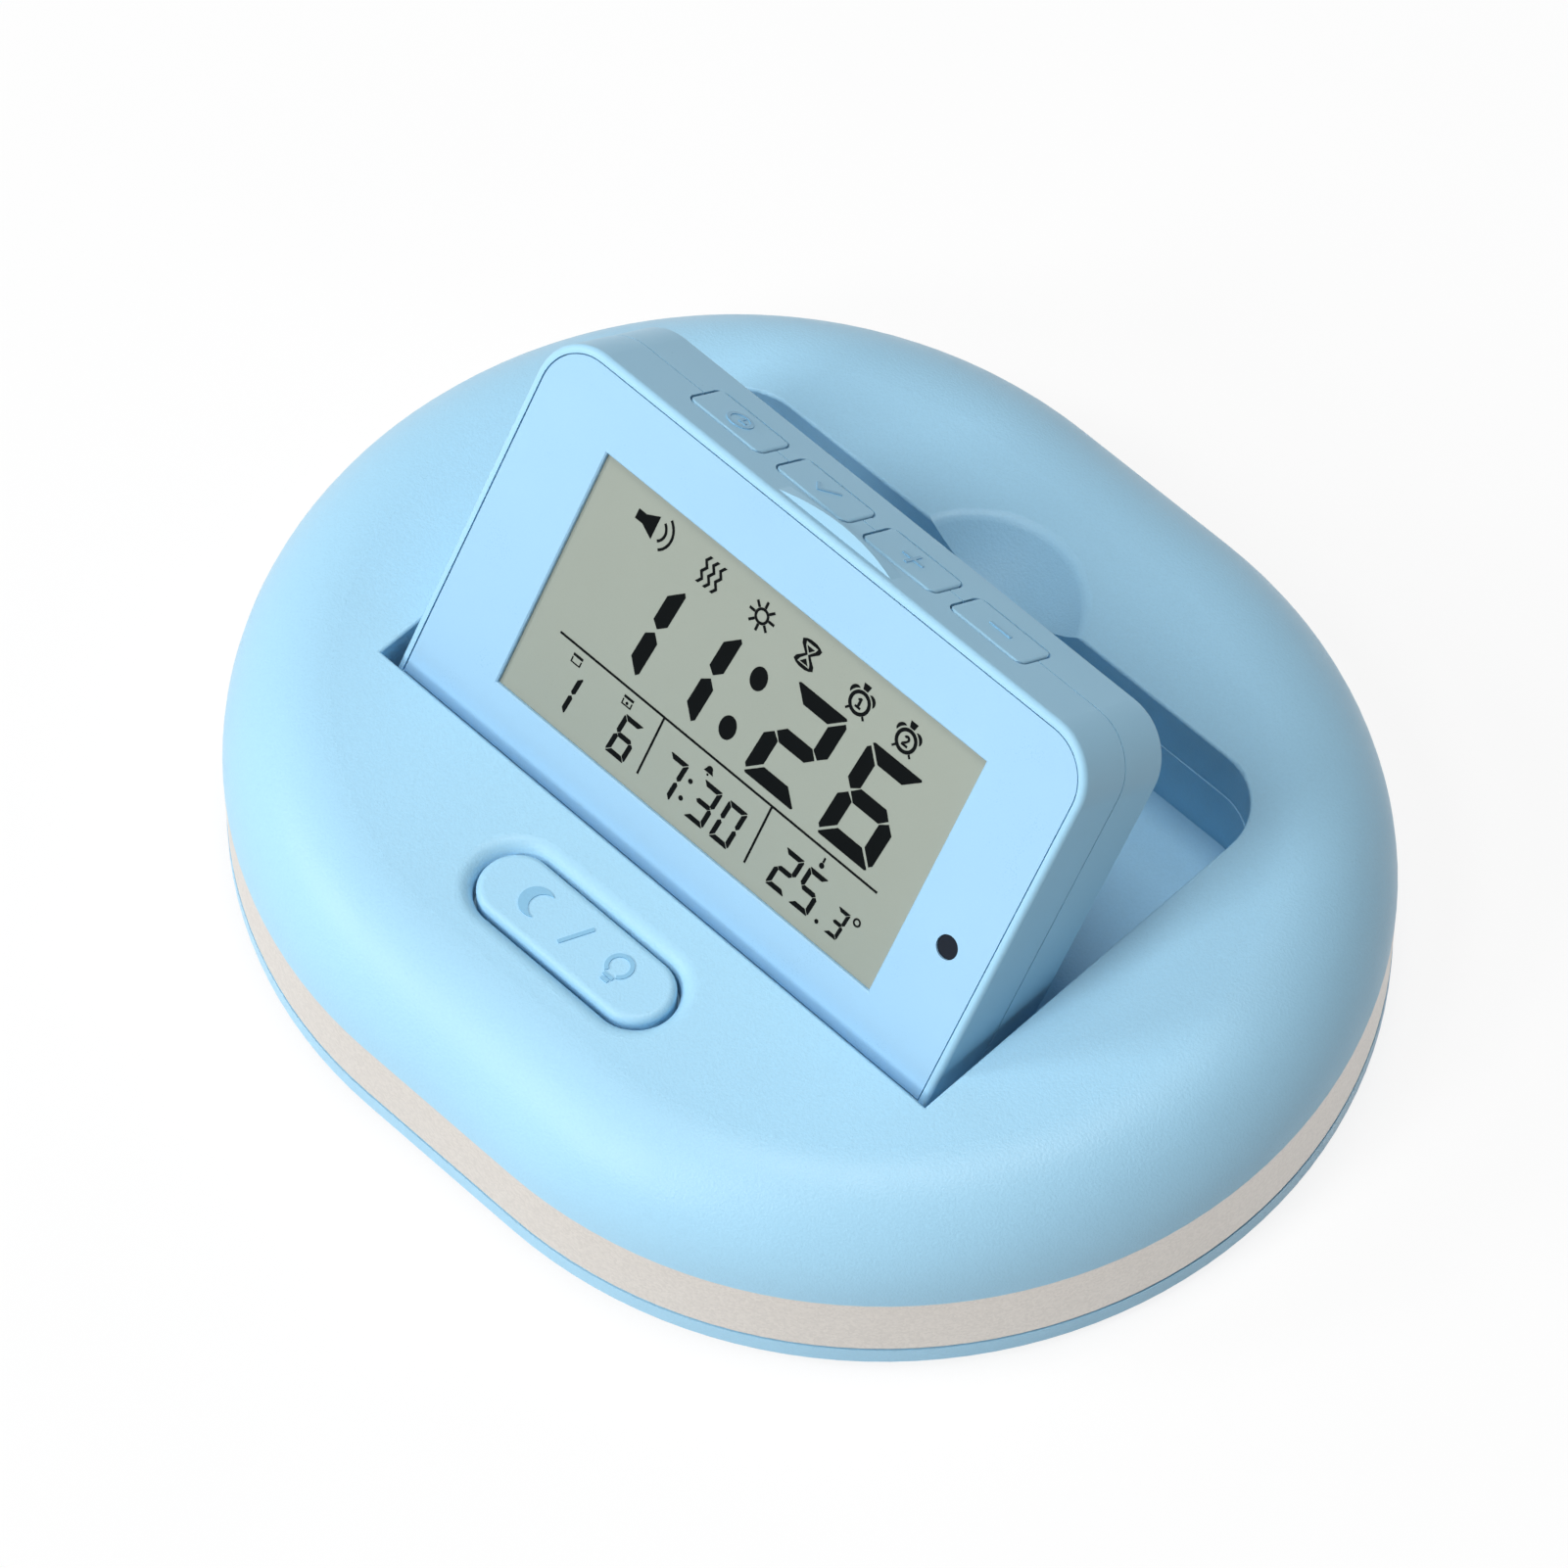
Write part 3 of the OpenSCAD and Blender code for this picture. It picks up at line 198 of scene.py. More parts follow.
plated_metal = make_plated_metal()
zinc_steel = surface("zinc_steel", plated_metal, bump=0.2, depth=0.02 * MM,
                     Colour=tint(186, 190, 196), Dull=0.20, Metallic=1.0)
nickel_steel = surface("nickel_steel", plated_metal, bump=0.15, depth=0.02 * MM,
                       Colour=tint(212, 206, 194), Dull=0.14, Metallic=1.0)
weight_brass = surface("weight_brass", plated_metal, bump=0.2, depth=0.03 * MM,
                       Colour=tint(190, 156, 96), Dull=0.24, Metallic=1.0)
finish(zinc_steel, "base_screws", "board_screws", "snooze_screws", "display_screws", "motor_can")
finish(nickel_steel, "hinge_pins", "battery_contacts", "motor_shaft")
finish(weight_brass, "eccentric_weight")

# Circuit boards: glass fibre under green solder mask, with copper tracks that stand up a little
# under it. They are screwed to posts or clamped behind the display.


def make_solder_mask():
    """Solder mask: runs of tracks as paler lines, and the weave of the glass fibre."""
    group, given, result = effect(
        "solder_mask", {"Colour": "Color", "Track": "Color"},
        {"Colour": "Color", "Height": "Float"})
    where = put(group, "ShaderNodeTexCoord")
    tracks = put(group, "ShaderNodeTexBrick", Scale_=150.0, Mortar_Size_=0.03, Mortar_Smooth_=0.2)
    weave = put(group, "ShaderNodeTexNoise", Scale_=900.0, Detail_=2.0)
    tone = spread(group, 0.9, 1.1)
    blend = put(group, "ShaderNodeMix", data_type="RGBA")
    shade = put(group, "ShaderNodeHueSaturation")
    link = group.links.new
    link(where.outputs["Object"], tracks.inputs["Vector"])
    link(where.outputs["Object"], weave.inputs["Vector"])
    link(weave.outputs["Fac"], tone.inputs["Value"])
    link(tracks.outputs["Fac"], blend.inputs["Factor"])
    link(given.outputs["Colour"], blend.inputs["A"])
    link(given.outputs["Track"], blend.inputs["B"])
    link(blend.outputs["Result"], shade.inputs["Color"])
    link(tone.outputs["Result"], shade.inputs["Value"])
    link(shade.outputs["Color"], result.inputs["Colour"])
    link(tracks.outputs["Fac"], result.inputs["Height"])
    return group


green_board = surface("green_board", make_solder_mask(), bump=0.4, depth=0.03 * MM,
                      Colour=tint(28, 92, 62), Track=tint(64, 132, 90), Roughness=0.42)
finish(green_board, "main_board", "snooze_board", "display_board")

# Switches and speaker: black glass-filled nylon, dull from the fibre in it.
# The switches are soldered to the boards, and the speaker sits in a ring of the lower shell.
black_nylon = surface("black_nylon", moulded_skin, bump=0.3, Colour=tint(34, 35, 38),
                      Grain=3600.0, Fleck=0.35, Matt=0.52)
finish(black_nylon, "speaker", "snooze_switch", "key_switches")

# Cells: steel cans in a plain shrunk jacket, dark for most of the length and copper at one end.
# They lie in the battery bay between the springs and the flat contacts.


def make_cell_jacket():
    """Jackets of two cells that lie head to tail: bare ends, a coppery and a dark length."""
    jacket_start, jacket_end, copper_start = 0.03, 0.97, 0.72
    bare_steel = tint(190, 190, 192)
    jacket_dark, jacket_copper = tint(38, 42, 50), tint(176, 112, 72)
    group, given, result = effect(
        "cell_jacket", {"Reach": "Float", "Parting": "Float"},
        {"Colour": "Color", "Metallic": "Float", "Roughness": "Float"})
    where = put(group, "ShaderNodeTexCoord")
    along = put(group, "ShaderNodeSeparateXYZ")
    beside = put(group, "ShaderNodeMath", operation="SUBTRACT")
    heading = put(group, "ShaderNodeMath", operation="SIGN")
    turned = put(group, "ShaderNodeMath", operation="MULTIPLY")
    reach = put(group, "ShaderNodeMath", operation="DIVIDE")
    share = put(group, "ShaderNodeMapRange", From_Min_=-1.0, From_Max_=1.0)
    colours = put(group, "ShaderNodeValToRGB")
    colours.color_ramp.interpolation = "CONSTANT"
    bands = ((0.0, bare_steel), (jacket_start, jacket_dark),
             (copper_start, jacket_copper), (jacket_end, bare_steel))
    ramp = colours.color_ramp.elements
    for place, _ in bands[1:-1]:
        ramp.new(place)
    for stop, (place, colour) in zip(ramp, bands):
        stop.position = place
        stop.color = colour
    creases = put(group, "ShaderNodeTexNoise", Scale_=300.0, Detail_=3.0)
    dull = spread(group, 0.24, 0.4)
    wrapped = put(group, "ShaderNodeMath", operation="COMPARE")
    wrapped.inputs[1].default_value = (jacket_start + jacket_end) / 2
    wrapped.inputs[2].default_value = (jacket_end - jacket_start) / 2
    bare = put(group, "ShaderNodeMath", operation="SUBTRACT")
    bare.inputs[0].default_value = 1.0
    link = group.links.new
    link(where.outputs["Object"], along.inputs["Vector"])
    link(along.outputs["Y"], beside.inputs[0])
    link(given.outputs["Parting"], beside.inputs[1])
    link(beside.outputs[0], heading.inputs[0])
    link(along.outputs["X"], turned.inputs[0])
    link(heading.outputs[0], turned.inputs[1])
    link(turned.outputs[0], reach.inputs[0])
    link(given.outputs["Reach"], reach.inputs[1])
    link(reach.outputs[0], share.inputs["Value"])
    link(share.outputs["Result"], colours.inputs["Fac"])
    link(share.outputs["Result"], wrapped.inputs[0])
    link(wrapped.outputs[0], bare.inputs[1])
    link(where.outputs["Object"], creases.inputs["Vector"])
    link(creases.outputs["Fac"], dull.inputs["Value"])
    link(colours.outputs["Color"], result.inputs["Colour"])
    link(bare.outputs[0], result.inputs["Metallic"])
    link(dull.outputs["Result"], result.inputs["Roughness"])
    return group


cells_low, cells_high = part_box("battery_cells")
cell_jacket = surface("cell_jacket", make_cell_jacket(), Reach=cells_high[0],
                      Parting=(cells_low[1] + cells_high[1]) / 2)
finish(cell_jacket, "battery_cells")

# Top cover: the domed upper shell with the well for the display and the finger scoop.
# It is moulded in the same blue ABS as the lower shell and holds the pins of the hinge.
finish(blue_shell, "top_cover")

# Band: a ring of ABS sprayed champagne silver, clamped between the two shells.
# The flakes in the paint lie at slightly different angles and glint one by one.


def make_flake_paint():
    """Metallic paint: flakes as small cells of random tone and tilt."""
    group, given, result = effect(
        "flake_paint", {"Colour": "Color", "Size": "Float", "Matt": "Float"},
        {"Colour": "Color", "Roughness": "Float", "Height": "Float"})
    where = put(group, "ShaderNodeTexCoord")
    flakes = put(group, "ShaderNodeTexVoronoi")
    haze = put(group, "ShaderNodeTexNoise", Scale_=60.0, Detail_=3.0)
    tone = put(group, "ShaderNodeMapRange", To_Min_=0.94, To_Max_=1.05)
    level = spread(group, -0.03, 0.03)
    value = put(group, "ShaderNodeSeparateColor")
    shade = put(group, "ShaderNodeHueSaturation")
    matt = put(group, "ShaderNodeMath", operation="ADD")
    link = group.links.new
    link(where.outputs["Object"], flakes.inputs["Vector"])
    link(where.outputs["Object"], haze.inputs["Vector"])
    link(given.outputs["Size"], flakes.inputs["Scale"])
    link(flakes.outputs["Color"], value.inputs["Color"])
    link(value.outputs["Red"], tone.inputs["Value"])
    link(tone.outputs["Result"], shade.inputs["Value"])
    link(given.outputs["Colour"], shade.inputs["Color"])
    link(haze.outputs["Fac"], level.inputs["Value"])
    link(level.outputs["Result"], matt.inputs[0])
    link(given.outputs["Matt"], matt.inputs[1])
    link(shade.outputs["Color"], result.inputs["Colour"])
    link(matt.outputs[0], result.inputs["Roughness"])
    link(value.outputs["Green"], result.inputs["Height"])
    return group


champagne_silver = surface("champagne_silver", make_flake_paint(), bump=0.12, depth=0.02 * MM,
                           Colour=tint(217, 212, 206), Size=3800.0, Matt=0.42, Metallic=0.5)
finish(champagne_silver, "trim_band")

# Snooze button: a long cap of the same blue ABS in the rounded hole of the top cover.
# Its sign, a moon, a bar and a lamp bulb, is raised in the mould; its blue, darker than the cap's,
# is painted shade on the relief.


def arc(centre, r, start, end, steps):
    """Points on an arc, in millimetres and degrees."""
    angles = [math.radians(start + (end - start) * i / steps) for i in range(steps + 1)]
    return [(centre[0] + r * math.cos(a), centre[1] + r * math.sin(a)) for a in angles]


def disc(centre, r, steps=24):
    """Outline of a round dot."""
    return arc(centre, r, 0, 360, steps)[:-1]


def band(centre, r, width, start, end, steps=12):
    """Outline of an arc drawn with a pen of that width."""
    return (arc(centre, r + width / 2, start, end, steps)
            + arc(centre, r - width / 2, end, start, steps))


def ring(centre, r, width):
    """A whole ring, as two halves that share their ends."""
    return [band(centre, r, width, 0, 180), band(centre, r, width, 180, 360)]


def stroke(start, end, width):
    """Outline of a straight line drawn with a pen of that width."""
    along = Vector(end) - Vector(start)
    side = Vector((-along.y, along.x)).normalized() * width / 2
    return [tuple(Vector(start) - side), tuple(Vector(end) - side),
            tuple(Vector(end) + side), tuple(Vector(start) + side)]


def relief(name, outlines, rise, place, mat, body):
    """One piece of flat shapes in millimetres, extruded by rise, in place and carried by a body."""
    drawn = []
    for outline in outlines:
        bpy.ops.object.select_all(action="DESELECT")
        bpy.ops.mesh.primitive_circle_add(vertices=len(outline), radius=MM, fill_type="NGON")
        shape = bpy.context.object
        for corner, (u, v) in zip(shape.data.vertices, outline):
            corner.co = (u * MM, v * MM, 0.0)
        drawn.append(shape)
    for shape in drawn:
        shape.select_set(True)
    if len(drawn) > 1:
        bpy.ops.object.join()
    piece = bpy.context.object
    bpy.ops.object.mode_set(mode="EDIT")
    bpy.ops.mesh.select_all(action="SELECT")
    bpy.ops.mesh.remove_doubles(threshold=0.001 * MM)
    bpy.ops.mesh.extrude_region_move(TRANSFORM_OT_translate={"value": (0.0, 0.0, rise * MM)})
    bpy.ops.mesh.select_all(action="SELECT")
    bpy.ops.mesh.normals_make_consistent(inside=False)
    bpy.ops.object.mode_set(mode="OBJECT")
    piece.name = name
    piece.data.name = name
    piece.data.transform(place)
    piece.data.materials.append(mat)
    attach(piece, body)


# Painted shade: the signs are coloured darker than the cap so that the raised relief reads as
# shaded.
painted_shade_blue = surface("painted_shade_blue", moulded_skin, bump=0.3, Colour=tint(132, 186, 218),
                      Grain=spark_grain, Fleck=0.12, Matt=0.34)
finish(blue_shell, "snooze_button")
sign_rise = 0.12
button_low, button_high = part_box("snooze_button")
button_top = Matrix.Translation(((button_low[0] + button_high[0]) / 2,
                                 (button_low[1] + button_high[1]) / 2, button_high[2]))
moon, bulb = (-5.4, 0.0), (5.4, 0.45)
moon_r, bite_r, bite_in = 1.75, 1.5, 0.95
bulb_r, pen = 1.25, 0.42
horn = math.degrees(math.acos((moon_r ** 2 + bite_in ** 2 - bite_r ** 2) / (2 * moon_r * bite_in)))
bite = math.degrees(math.asin(moon_r * math.sin(math.radians(horn)) / bite_r))
bite_turn = 180 - bite if moon_r * math.cos(math.radians(horn)) < bite_in else bite
snooze_sign = [
    arc(moon, moon_r, horn, 360 - horn, 28)
    + arc((moon[0] + bite_in, moon[1]), bite_r, 360 - bite_turn, bite_turn, 20)[1:-1],
    stroke((-0.75, -1.7), (0.75, 1.7), pen),
    band(bulb, bulb_r, pen, -60, 240, 24),
    stroke((bulb[0] - 0.62, bulb[1] - 1.5), (bulb[0] + 0.62, bulb[1] - 1.5), 0.36),
    stroke((bulb[0] - 0.45, bulb[1] - 2.0), (bulb[0] + 0.45, bulb[1] - 2.0), 0.36),
]
relief("snooze_sign", snooze_sign, sign_rise, button_top, painted_shade_blue, "snooze")

# Display: two halves of blue ABS screwed together, and a smoother plate pressed into the front.
# Inside are a white frame, the light guide, the striped rubber contact strip and the LCD glass.
# A small smoked lens looks out at the lower right of the face.


def make_rubber_layers():
    """Stripes of conductive and plain rubber across a strip."""
    group, given, result = effect(
        "rubber_layers", {"Colour": "Color", "Stripe": "Color"},
        {"Colour": "Color", "Height": "Float"})
    where = put(group, "ShaderNodeTexCoord")
    layers = put(group, "ShaderNodeTexWave", Scale_=2400.0, bands_direction="X")
    blend = put(group, "ShaderNodeMix", data_type="RGBA")
    link = group.links.new
    link(where.outputs["Object"], layers.inputs["Vector"])
    link(layers.outputs["Fac"], blend.inputs["Factor"])
    link(given.outputs["Colour"], blend.inputs["A"])
    link(given.outputs["Stripe"], blend.inputs["B"])
    link(blend.outputs["Result"], result.inputs["Colour"])
    link(layers.outputs["Fac"], result.inputs["Height"])
    return group


display_blue = surface("display_blue", moulded_skin, bump=0.1, Colour=sky_blue,
                       Grain=spark_grain, Fleck=0.03, Matt=0.36, Specular_IOR_Level=0.13)
face_blue = surface("face_blue", moulded_skin, bump=0.12, Colour=tint(157, 202, 232),
                    Grain=6400.0, Fleck=0.05, Matt=0.34)
white_frame = surface("white_frame", moulded_skin, bump=0.2, Colour=tint(226, 228, 228),
                      Grain=4200.0, Fleck=0.05, Matt=0.44)
light_guide = surface("light_guide", moulded_skin, bump=0.1, Colour=tint(236, 240, 242),
                      Grain=3000.0, Fleck=0.03, Matt=0.16, Transmission_Weight=0.35)
smoked_lens = surface("smoked_lens", moulded_skin, bump=0.05, Colour=tint(14, 24, 36),
                      Grain=2000.0, Fleck=0.05, Matt=0.2, Specular_IOR_Level=0.2)
striped_rubber = surface("striped_rubber", make_rubber_layers(), bump=0.2,
                         Colour=tint(232, 150, 150), Stripe=tint(40, 38, 40), Roughness=0.6)
lcd_grey = surface("lcd_grey", moulded_skin, bump=0.03, Colour=tint(150, 158, 148),
                   Grain=7000.0, Fleck=0.05, Matt=0.36, Specular_IOR_Level=0.35)
finish(display_blue, "display_front", "display_rear")
finish(face_blue, "front_plate")
finish(white_frame, "lcd_frame")
finish(light_guide, "backlight")
finish(smoked_lens, "sensor_lens")
finish(striped_rubber, "contact_strip")
finish(lcd_grey, "lcd_panel")

# Segments and signs of the LCD: dark liquid crystal just under the polariser, as thin as a film.
# The time is in large slanted digits, small signs stand above it, and date, alarm and warmth below.
fold = next(joint for joint in frame["joints"] if joint["name"] == "display_fold")
display_place = (Matrix.Translation(fold["pos_m"])
                 @ Matrix.Rotation(math.radians(-fold["range_deg"][0]), 4, "X"))


def flat_box(node):
    """Corners of a node of the display as it lies face up, with its hinge at the origin."""
    flat = display_place.inverted()
    corners = [flat @ vertex.co for vertex in frame["nodes"][node].data.vertices]
    return [Vector(pick(c[i] for c in corners) for i in range(3)) for pick in (min, max)]


SEGMENTS = {0: "abcdef", 1: "bc", 2: "abged", 3: "abgcd", 5: "afgcd", 6: "afgedc", 7: "abc"}
lean = math.tan(math.radians(5.3))


def digit(value, left, low, wide, tall, pen):
    """Lit segments of a seven-segment digit, mitred at the corners and leaning to the right."""
    right, high, mid = left + wide, low + tall, low + tall / 2
    mitre, point, shoulder = 1.12 * pen, 0.61 * pen, 1.08 * pen
    top = [(left + 0.3 * pen, high), (right - 0.3 * pen, high),
           (right - 0.2 * pen, high - 0.1 * pen), (right - mitre, high - pen),
           (left + mitre, high - pen), (left + 0.2 * pen, high - 0.1 * pen)]
    middle = [(left + point, mid), (left + shoulder, mid + pen / 2),
              (right - shoulder, mid + pen / 2), (right - point, mid),
              (right - shoulder, mid - pen / 2), (left + shoulder, mid - pen / 2)]
    upper = [(left, high - 0.5 * pen), (left + 0.18 * pen, high - 0.3 * pen),
             (left + pen, high - mitre), (left + pen, mid + 0.5 * pen),
             (left + pen / 2, mid + 0.12 * pen), (left, mid + 0.6 * pen)]
    shapes = {"a": top, "f": upper, "g": middle}
    for above, below in (("a", "d"), ("f", "e")):
        shapes[below] = [(u, 2 * mid - v) for u, v in shapes[above]]
    for near, far in (("f", "b"), ("e", "c")):
        shapes[far] = [(left + right - u, v) for u, v in shapes[near]]
    return [[(u + (v - low) * lean, v) for u, v in shapes[name]] for name in SEGMENTS[value]]


lcd_ink = surface("lcd_ink", moulded_skin, bump=0.02, Colour=tint(12, 15, 16),
                  Grain=5000.0, Fleck=0.12, Matt=0.6, Specular_IOR_Level=0.03)
glass_top = display_place @ Matrix.Translation((0.0, 0.0, flat_box("lcd_panel")[1].z))
film = 0.03


def show(name, outlines):
    """One group of dark shapes on the glass, in millimetres across and up from the hinge."""
    relief(name, outlines, film, glass_top, lcd_ink, "display")


def placed(outline, place, size=1.0):
    """An outline drawn about the origin, at its place on the glass."""
    return [(place[0] + u * size, place[1] + v * size) for u, v in outline]


time_low, time_tall, time_wide, time_pen = 16.0, 11.45, 7.1, 1.75
dot_tall = 1.28
time_sign = [[(x + u, p + v * dot_tall) for u, v in disc((0.0, 0.0), 1.0)]
             for x, p in ((-0.14, 24.8), (-0.8, 18.55))]
for value, left in ((1, -19.0), (1, -11.46), (2, 2.4), (6, 12.19)):
    time_sign += digit(value, left, time_low, time_wide, time_tall, time_pen)
show("lcd_time", time_sign)

rule, rule_pen, row_low = 15.0, 0.24, 8.1
show("lcd_rules", [stroke((-21.45, rule), (21.05, rule), rule_pen)]
     + [stroke((x, row_low + 0.2), (x, rule - rule_pen / 2), rule_pen) for x in (-7.3, 7.15)])

small_wide, small_tall, small_pen = 2.5, 4.55, 0.54
tenth_wide, tenth_tall, tenth_pen = 1.6, 3.2, 0.4
caption = 13.75


def small_digit(value, left):
    """A digit of the lower row."""
    return digit(value, left, row_low, small_wide, small_tall, small_pen)


def calendar_page(x):
    """Small sign of a calendar page: a filled head over an open sheet."""
    half, head, low, thin = 0.62, caption + 0.2, caption - 0.55, 0.14
    sheet = [(x - half, head - thin), (x - half, low), (x + half, low), (x + half, head - thin),
             (x + half - thin, head - thin), (x + half - thin, low + thin),
             (x - half + thin, low + thin), (x - half + thin, head - thin)]
    return [stroke((x - half, head + thin), (x + half, head + thin), 2 * thin), sheet]


show("lcd_month", small_digit(1, -19.8) + calendar_page(-18.5))
date_page = -11.6
show("lcd_date", small_digit(6, -11.65) + calendar_page(date_page)
     + [disc((date_page, caption - 0.2), 0.17, 12)])
bell, colon_r = (-0.5, caption), 0.27
show("lcd_alarm", small_digit(7, -5.5) + small_digit(3, -0.95) + small_digit(0, 2.4)
     + [disc((-1.95, 9.3), colon_r, 12), disc((-1.8, 11.4), colon_r, 12),
        arc(bell, 0.38, 0, 180, 12)
        + [(bell[0] - 0.6, bell[1] - 0.38), (bell[0] + 0.6, bell[1] - 0.38)],
        disc((bell[0], bell[1] - 0.58), 0.13, 12)])
tube = (14.6, caption - 0.3)
show("lcd_warmth", small_digit(2, 10.0) + small_digit(5, 13.13)
     + [disc((16.75, row_low + 0.3), 0.24, 12)]
     + digit(3, 17.85, row_low, tenth_wide, tenth_tall, tenth_pen)
     + ring((20.6, 11.1), 0.36, 0.2)
     + [disc(tube, 0.3, 16), stroke((tube[0], tube[1] + 0.34), (tube[0], tube[1] + 0.9), 0.22)])

sign_row, sign_pen = 30.25, 0.29
cone = (-17.1, 30.4)
funnel = [(-2.5, -0.55), (-1.5, -0.55), (0.0, -1.3), (0.0, 1.3), (-1.5, 0.55), (-2.5, 0.55)]
show("lcd_sound", [placed(funnel, cone),
                   band(cone, 1.25, sign_pen, -55, 55), band(cone, 2.1, sign_pen, -55, 55)])


def zigzag(x, tall=3.1, sway=0.2, turns=5):
    """Outline of an upright zigzag line about the row of signs."""
    line = [(x - (sway if i % 2 else -sway), sign_row + tall * (0.5 - i / turns))
            for i in range(turns + 1)]
    half = 0.62 * sign_pen
    return [(u - half, v) for u, v in line] + [(u + half, v) for u, v in reversed(line)]


show("lcd_shake", [zigzag(-9.57 + step) for step in (-0.93, 0.0, 0.93)])
sun, sun_r, ray_start, ray_end = (-2.8, sign_row), 0.72, 0.89, 1.62
rays = [(math.cos(a), math.sin(a)) for a in (math.radians(45 * i) for i in range(8))]
show("lcd_light", ring(sun, sun_r, sign_pen)
     + [stroke((sun[0] + ray_start * u, sun[1] + ray_start * v),
               (sun[0] + ray_end * u, sun[1] + ray_end * v), sign_pen) for u, v in rays])
glass, glass_size = (3.35, sign_row - 0.1), 1.16
glass_pen, waist_gap = 0.42, 0.02
bulb_wall = [(1.07, 0.98), (0.95, 0.62), (0.3, 0.0), (0.95, -0.62), (1.07, -0.98)]
bulb_wall += [(max(u - glass_pen, waist_gap), v) for u, v in reversed(bulb_wall)]
cap = [(-1.07, 0.98), (1.07, 0.98), (0.75, 1.18), (0.3, 1.3), (-0.3, 1.3), (-0.75, 1.18)]
sand_above = [(0.0, 0.22), (0.42, 0.7), (-0.42, 0.7)]
sand_fallen = [(-0.45, -0.86), (0.45, -0.86), (0.0, -0.36)]
hourglass = [bulb_wall, [(-u, v) for u, v in bulb_wall],
             cap, [(u, -v) for u, v in cap], sand_above, sand_fallen]
show("lcd_timer", [placed(shape, glass, glass_size) for shape in hourglass])


def crescent(centre, r, thick, start, end, steps=12, blunt=0.6):
    """Outline of an arc that swells outwards in its middle and comes to a point at both ends."""
    inner = arc(centre, r, start, end, steps)
    swell = [1 + thick / r * math.sin(math.pi * i / steps) ** blunt for i in range(1, steps)]
    outer = [(centre[0] + (u - centre[0]) * grow, centre[1] + (v - centre[1]) * grow)
             for (u, v), grow in zip(inner[1:-1], swell)]
    return inner + outer[::-1]


clock_row = 29.65


def alarm_clock(name, x, number):
    """Sign of a round alarm clock: a ring about its number, feet, two bells and a knob on top."""
    centre = (x, clock_row)
    feet = [stroke((x + side * 0.875, clock_row - 0.975), (x + side * 1.16, clock_row - 1.3), 0.24)
            for side in (-1, 1)]
    bells = [crescent(centre, 1.48, 0.38, 90 + side * 25, 90 + side * 75) for side in (-1, 1)]
    knob = [(-0.3, 1.42), (0.3, 1.42), (0.46, 2.1), (-0.46, 2.1)]
    show(name, ring(centre, 1.11, 0.38) + feet + bells
         + [placed(shape, centre) for shape in [knob] + number])


one = [[(-0.15, -0.34), (0.15, -0.34), (0.15, 0.54), (-0.08, 0.54),
        (-0.34, 0.34), (-0.25, 0.17), (-0.15, 0.24)],
       [(-0.36, -0.6), (0.36, -0.6), (0.36, -0.36), (-0.36, -0.36)]]
two = [arc((0.0, 0.2), 0.38, 165, -20, 10) + [(0.02, -0.34), (-0.38, -0.34), (0.08, 0.06)]
       + arc((0.0, 0.2), 0.11, -20, 165, 8),
       [(-0.38, -0.6), (0.4, -0.6), (0.4, -0.36), (-0.38, -0.36)]]
alarm_clock("lcd_alarm_one", 10.45, one)
alarm_clock("lcd_alarm_two", 16.55, two)

# Keys: four caps of blue ABS in slots along the display's top, each on its own switch.
# Their signs, a dial, a tick, plus and minus, are raised in the mould, and their darker blue is
# painted shade.
finish(display_blue, "key_mode", "key_set", "key_plus", "key_minus")
key_pen, key_reach = 0.36, 1.3
key_signs = {
    "mode": ring((0.0, 0.0), 1.25, key_pen) + [stroke((0.0, -0.18), (0.0, 0.8), 0.3),
                                               stroke((0.15, 0.0), (0.75, 0.0), 0.3)],
    "set": [[(-1.3, 0.1), (-0.35, -1.1), (1.3, 1.0), (1.0, 1.25), (-0.38, -0.5), (-1.02, 0.38)]],
    "plus": [stroke((-key_reach, 0.0), (key_reach, 0.0), key_pen)]
    + [stroke((0.0, side * key_pen / 2), (0.0, side * key_reach), key_pen) for side in (-1, 1)],
    "minus": [stroke((-key_reach, 0.0), (key_reach, 0.0), key_pen)],
}
for key, outlines in key_signs.items():
    low, high = flat_box("key_" + key)
    top_middle = ((low.x + high.x) / 2, high.y, (low.z + high.z) / 2)
    key_top = (display_place @ Matrix.Translation(top_middle)
               @ Matrix.Rotation(math.radians(-90), 4, "X"))
    # The key signs take the same painted-shade blue as the snooze sign.
    relief(key + "_sign", outlines, sign_rise, key_top, painted_shade_blue, key + "_key")

# Camera: it looks down on the front right corner of the clock, as the photograph does.
# A long lens from some way off keeps the display's edges nearly parallel.
view_azimuth = math.radians(44.84)
view_elevation = math.radians(55.98)
view_distance = 0.8965
view_target = Vector((-8.08, 4.89, 0.8)) * MM
lens_mm = 208.6
sensor_mm = 36.0
view_from = Vector((math.sin(view_azimuth) * math.cos(view_elevation),
                    -math.cos(view_azimuth) * math.cos(view_elevation),
                    math.sin(view_elevation)))
bpy.ops.object.camera_add(location=view_target + view_distance * view_from)
camera = bpy.context.object
camera.rotation_euler = (-view_from).to_track_quat("-Z", "Y").to_euler()
camera.data.lens = lens_mm
camera.data.sensor_width = sensor_mm
bpy.context.scene.camera = camera

# Studio: a pale floor that stays white to the camera and keeps the clock's shadow.
# Three soft lamps stand at the front and left, one hangs above, and the room adds a faint light.
floor_side = 6.0
paper_white = (0.9, 0.9, 0.9, 1.0)
backdrop_share = 0.86
room_fill = 0.04


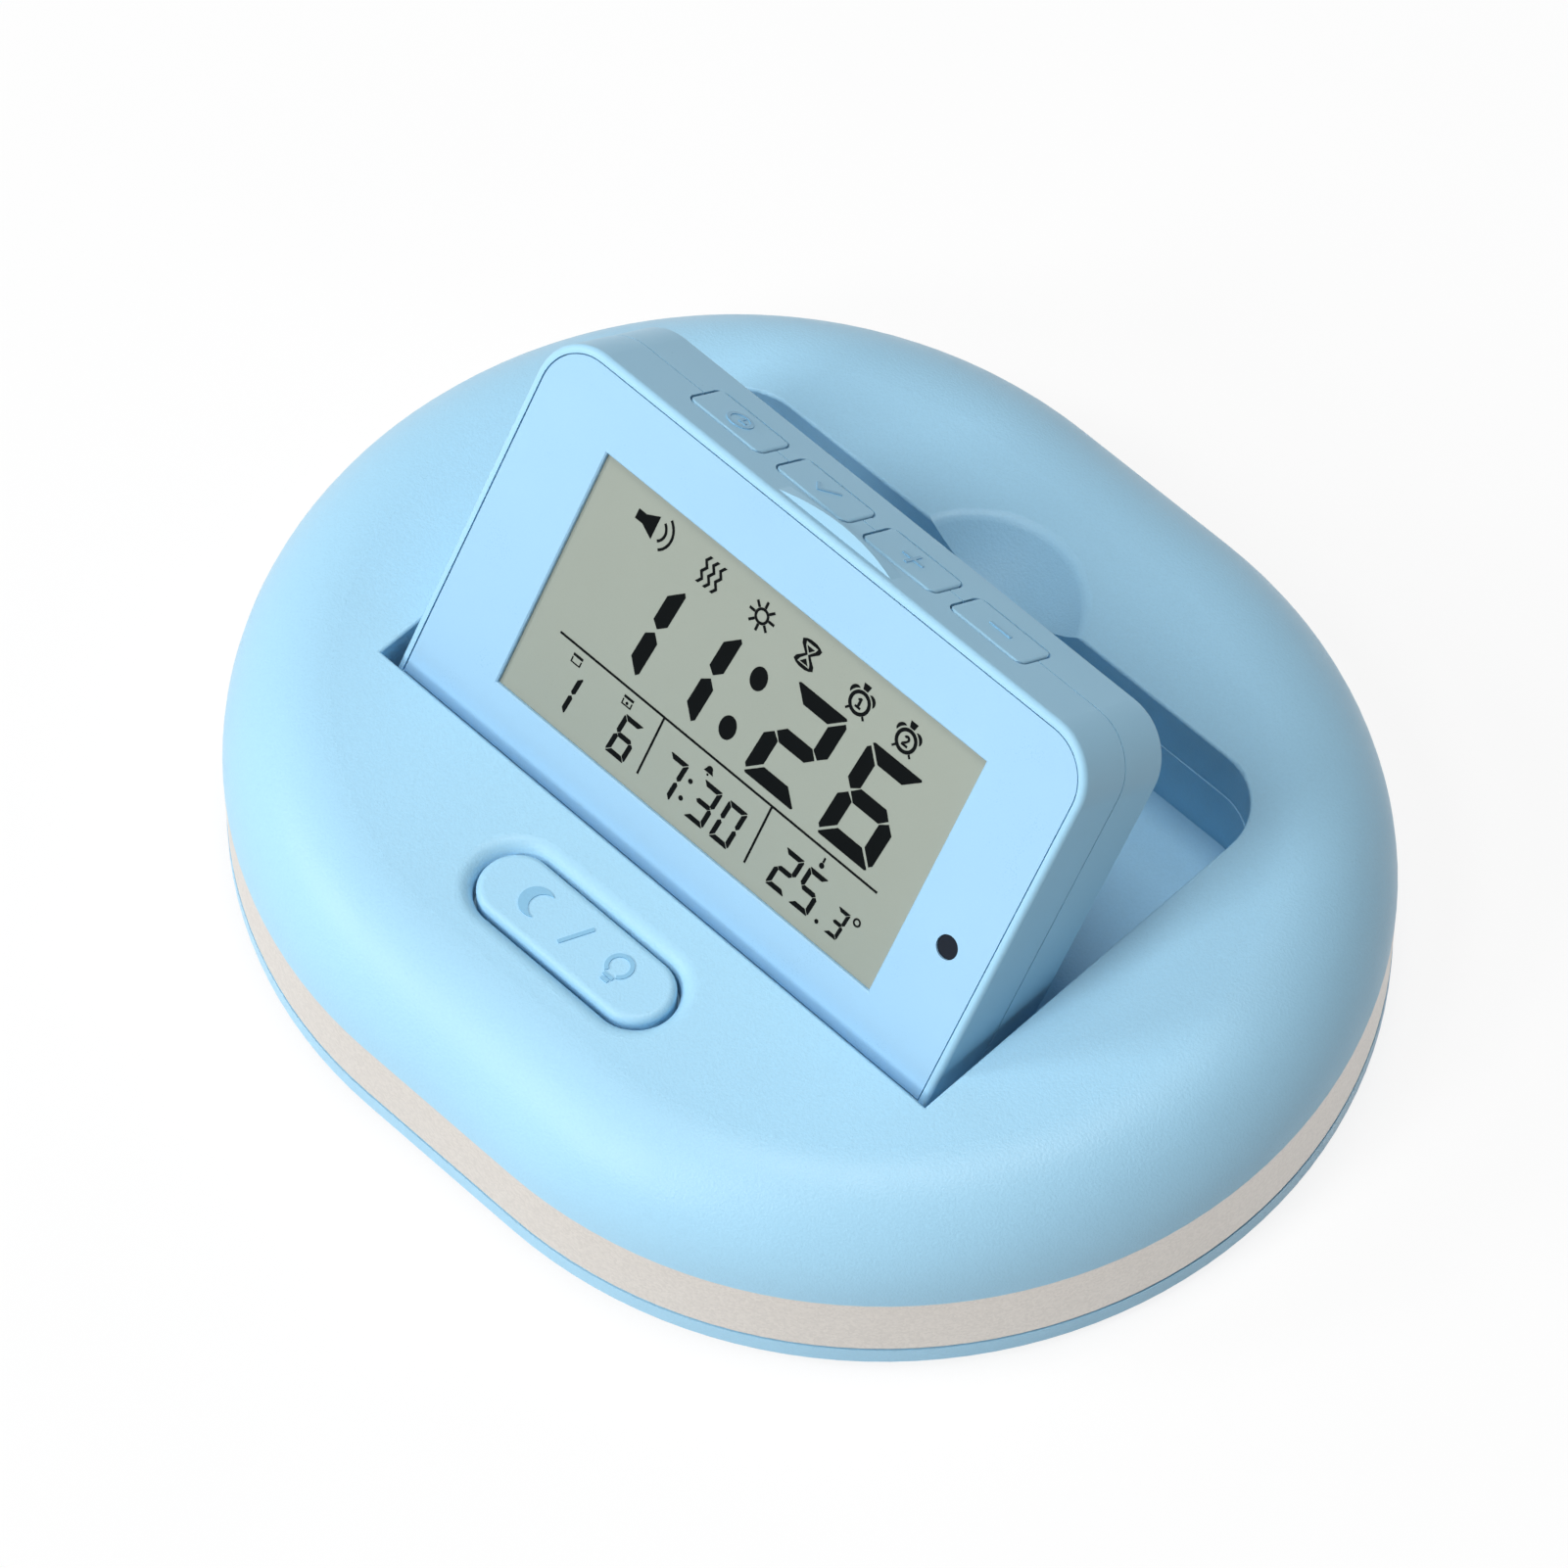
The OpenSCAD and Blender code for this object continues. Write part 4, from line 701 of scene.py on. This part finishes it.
def backdrop_rays(tree):
    """Mask of the rays that see the white backdrop: from the camera, mirrored or through glass."""
    path = put(tree, "ShaderNodeLightPath")
    mirrored = put(tree, "ShaderNodeMath", operation="ADD")
    seen = put(tree, "ShaderNodeMath", operation="ADD", use_clamp=True)
    tree.links.new(path.outputs["Is Glossy Ray"], mirrored.inputs[0])
    tree.links.new(path.outputs["Is Transmission Ray"], mirrored.inputs[1])
    tree.links.new(path.outputs["Is Camera Ray"], seen.inputs[0])
    tree.links.new(mirrored.outputs[0], seen.inputs[1])
    return seen.outputs[0]


bpy.ops.object.select_all(action="DESELECT")
bpy.ops.mesh.primitive_plane_add(size=floor_side, location=(0.0, 0.0, 0.0))
floor = bpy.context.object
floor.name = "floor"
paper = surface("white_paper", moulded_skin, Colour=paper_white, Grain=800.0, Fleck=0.0, Matt=0.9)
tree = paper.node_tree
glow = put(tree, "ShaderNodeEmission", Strength_=1.0)
mix = put(tree, "ShaderNodeMixShader")
share = put(tree, "ShaderNodeMath", operation="MULTIPLY")
share.inputs[1].default_value = backdrop_share
tree.links.new(backdrop_rays(tree), share.inputs[0])
tree.links.new(share.outputs[0], mix.inputs["Fac"])
tree.links.new(tree.nodes["Principled BSDF"].outputs[0], mix.inputs[1])
tree.links.new(glow.outputs[0], mix.inputs[2])
tree.links.new(mix.outputs[0], tree.nodes["Material Output"].inputs["Surface"])
floor.data.materials.append(paper)


def lamp(name, towards, distance, size, power):
    """A square soft lamp that faces the clock from a direction."""
    direction = Vector(towards).normalized()
    bpy.ops.object.light_add(type="AREA", location=direction * distance)
    light = bpy.context.object
    light.name = name
    light.rotation_euler = (-direction).to_track_quat("-Z", "Y").to_euler()
    light.data.size = size
    light.data.energy = power


lamp("front_lamp", (-0.12, -0.84, 0.55), 1.6, 0.3, 7.3)
lamp("high_lamp", (-0.1, -0.55, 0.83), 1.6, 0.4, 6.5)
lamp("left_lamp", (-0.6, -0.6, 0.53), 1.6, 0.4, 7.8)
lamp("top_lamp", (0.0, 0.05, 1.0), 1.5, 0.6, 10.2)
world = bpy.data.worlds.new("studio")
bpy.context.scene.world = world
world.use_nodes = True
tree = world.node_tree
back = tree.nodes["Background"]
back.inputs["Color"].default_value = (1.0, 1.0, 1.0, 1.0)
level = put(tree, "ShaderNodeMapRange", To_Min_=room_fill, To_Max_=1.0)
tree.links.new(backdrop_rays(tree), level.inputs["Value"])
tree.links.new(level.outputs["Result"], back.inputs["Strength"])
bpy.context.scene.view_settings.view_transform = "Standard"
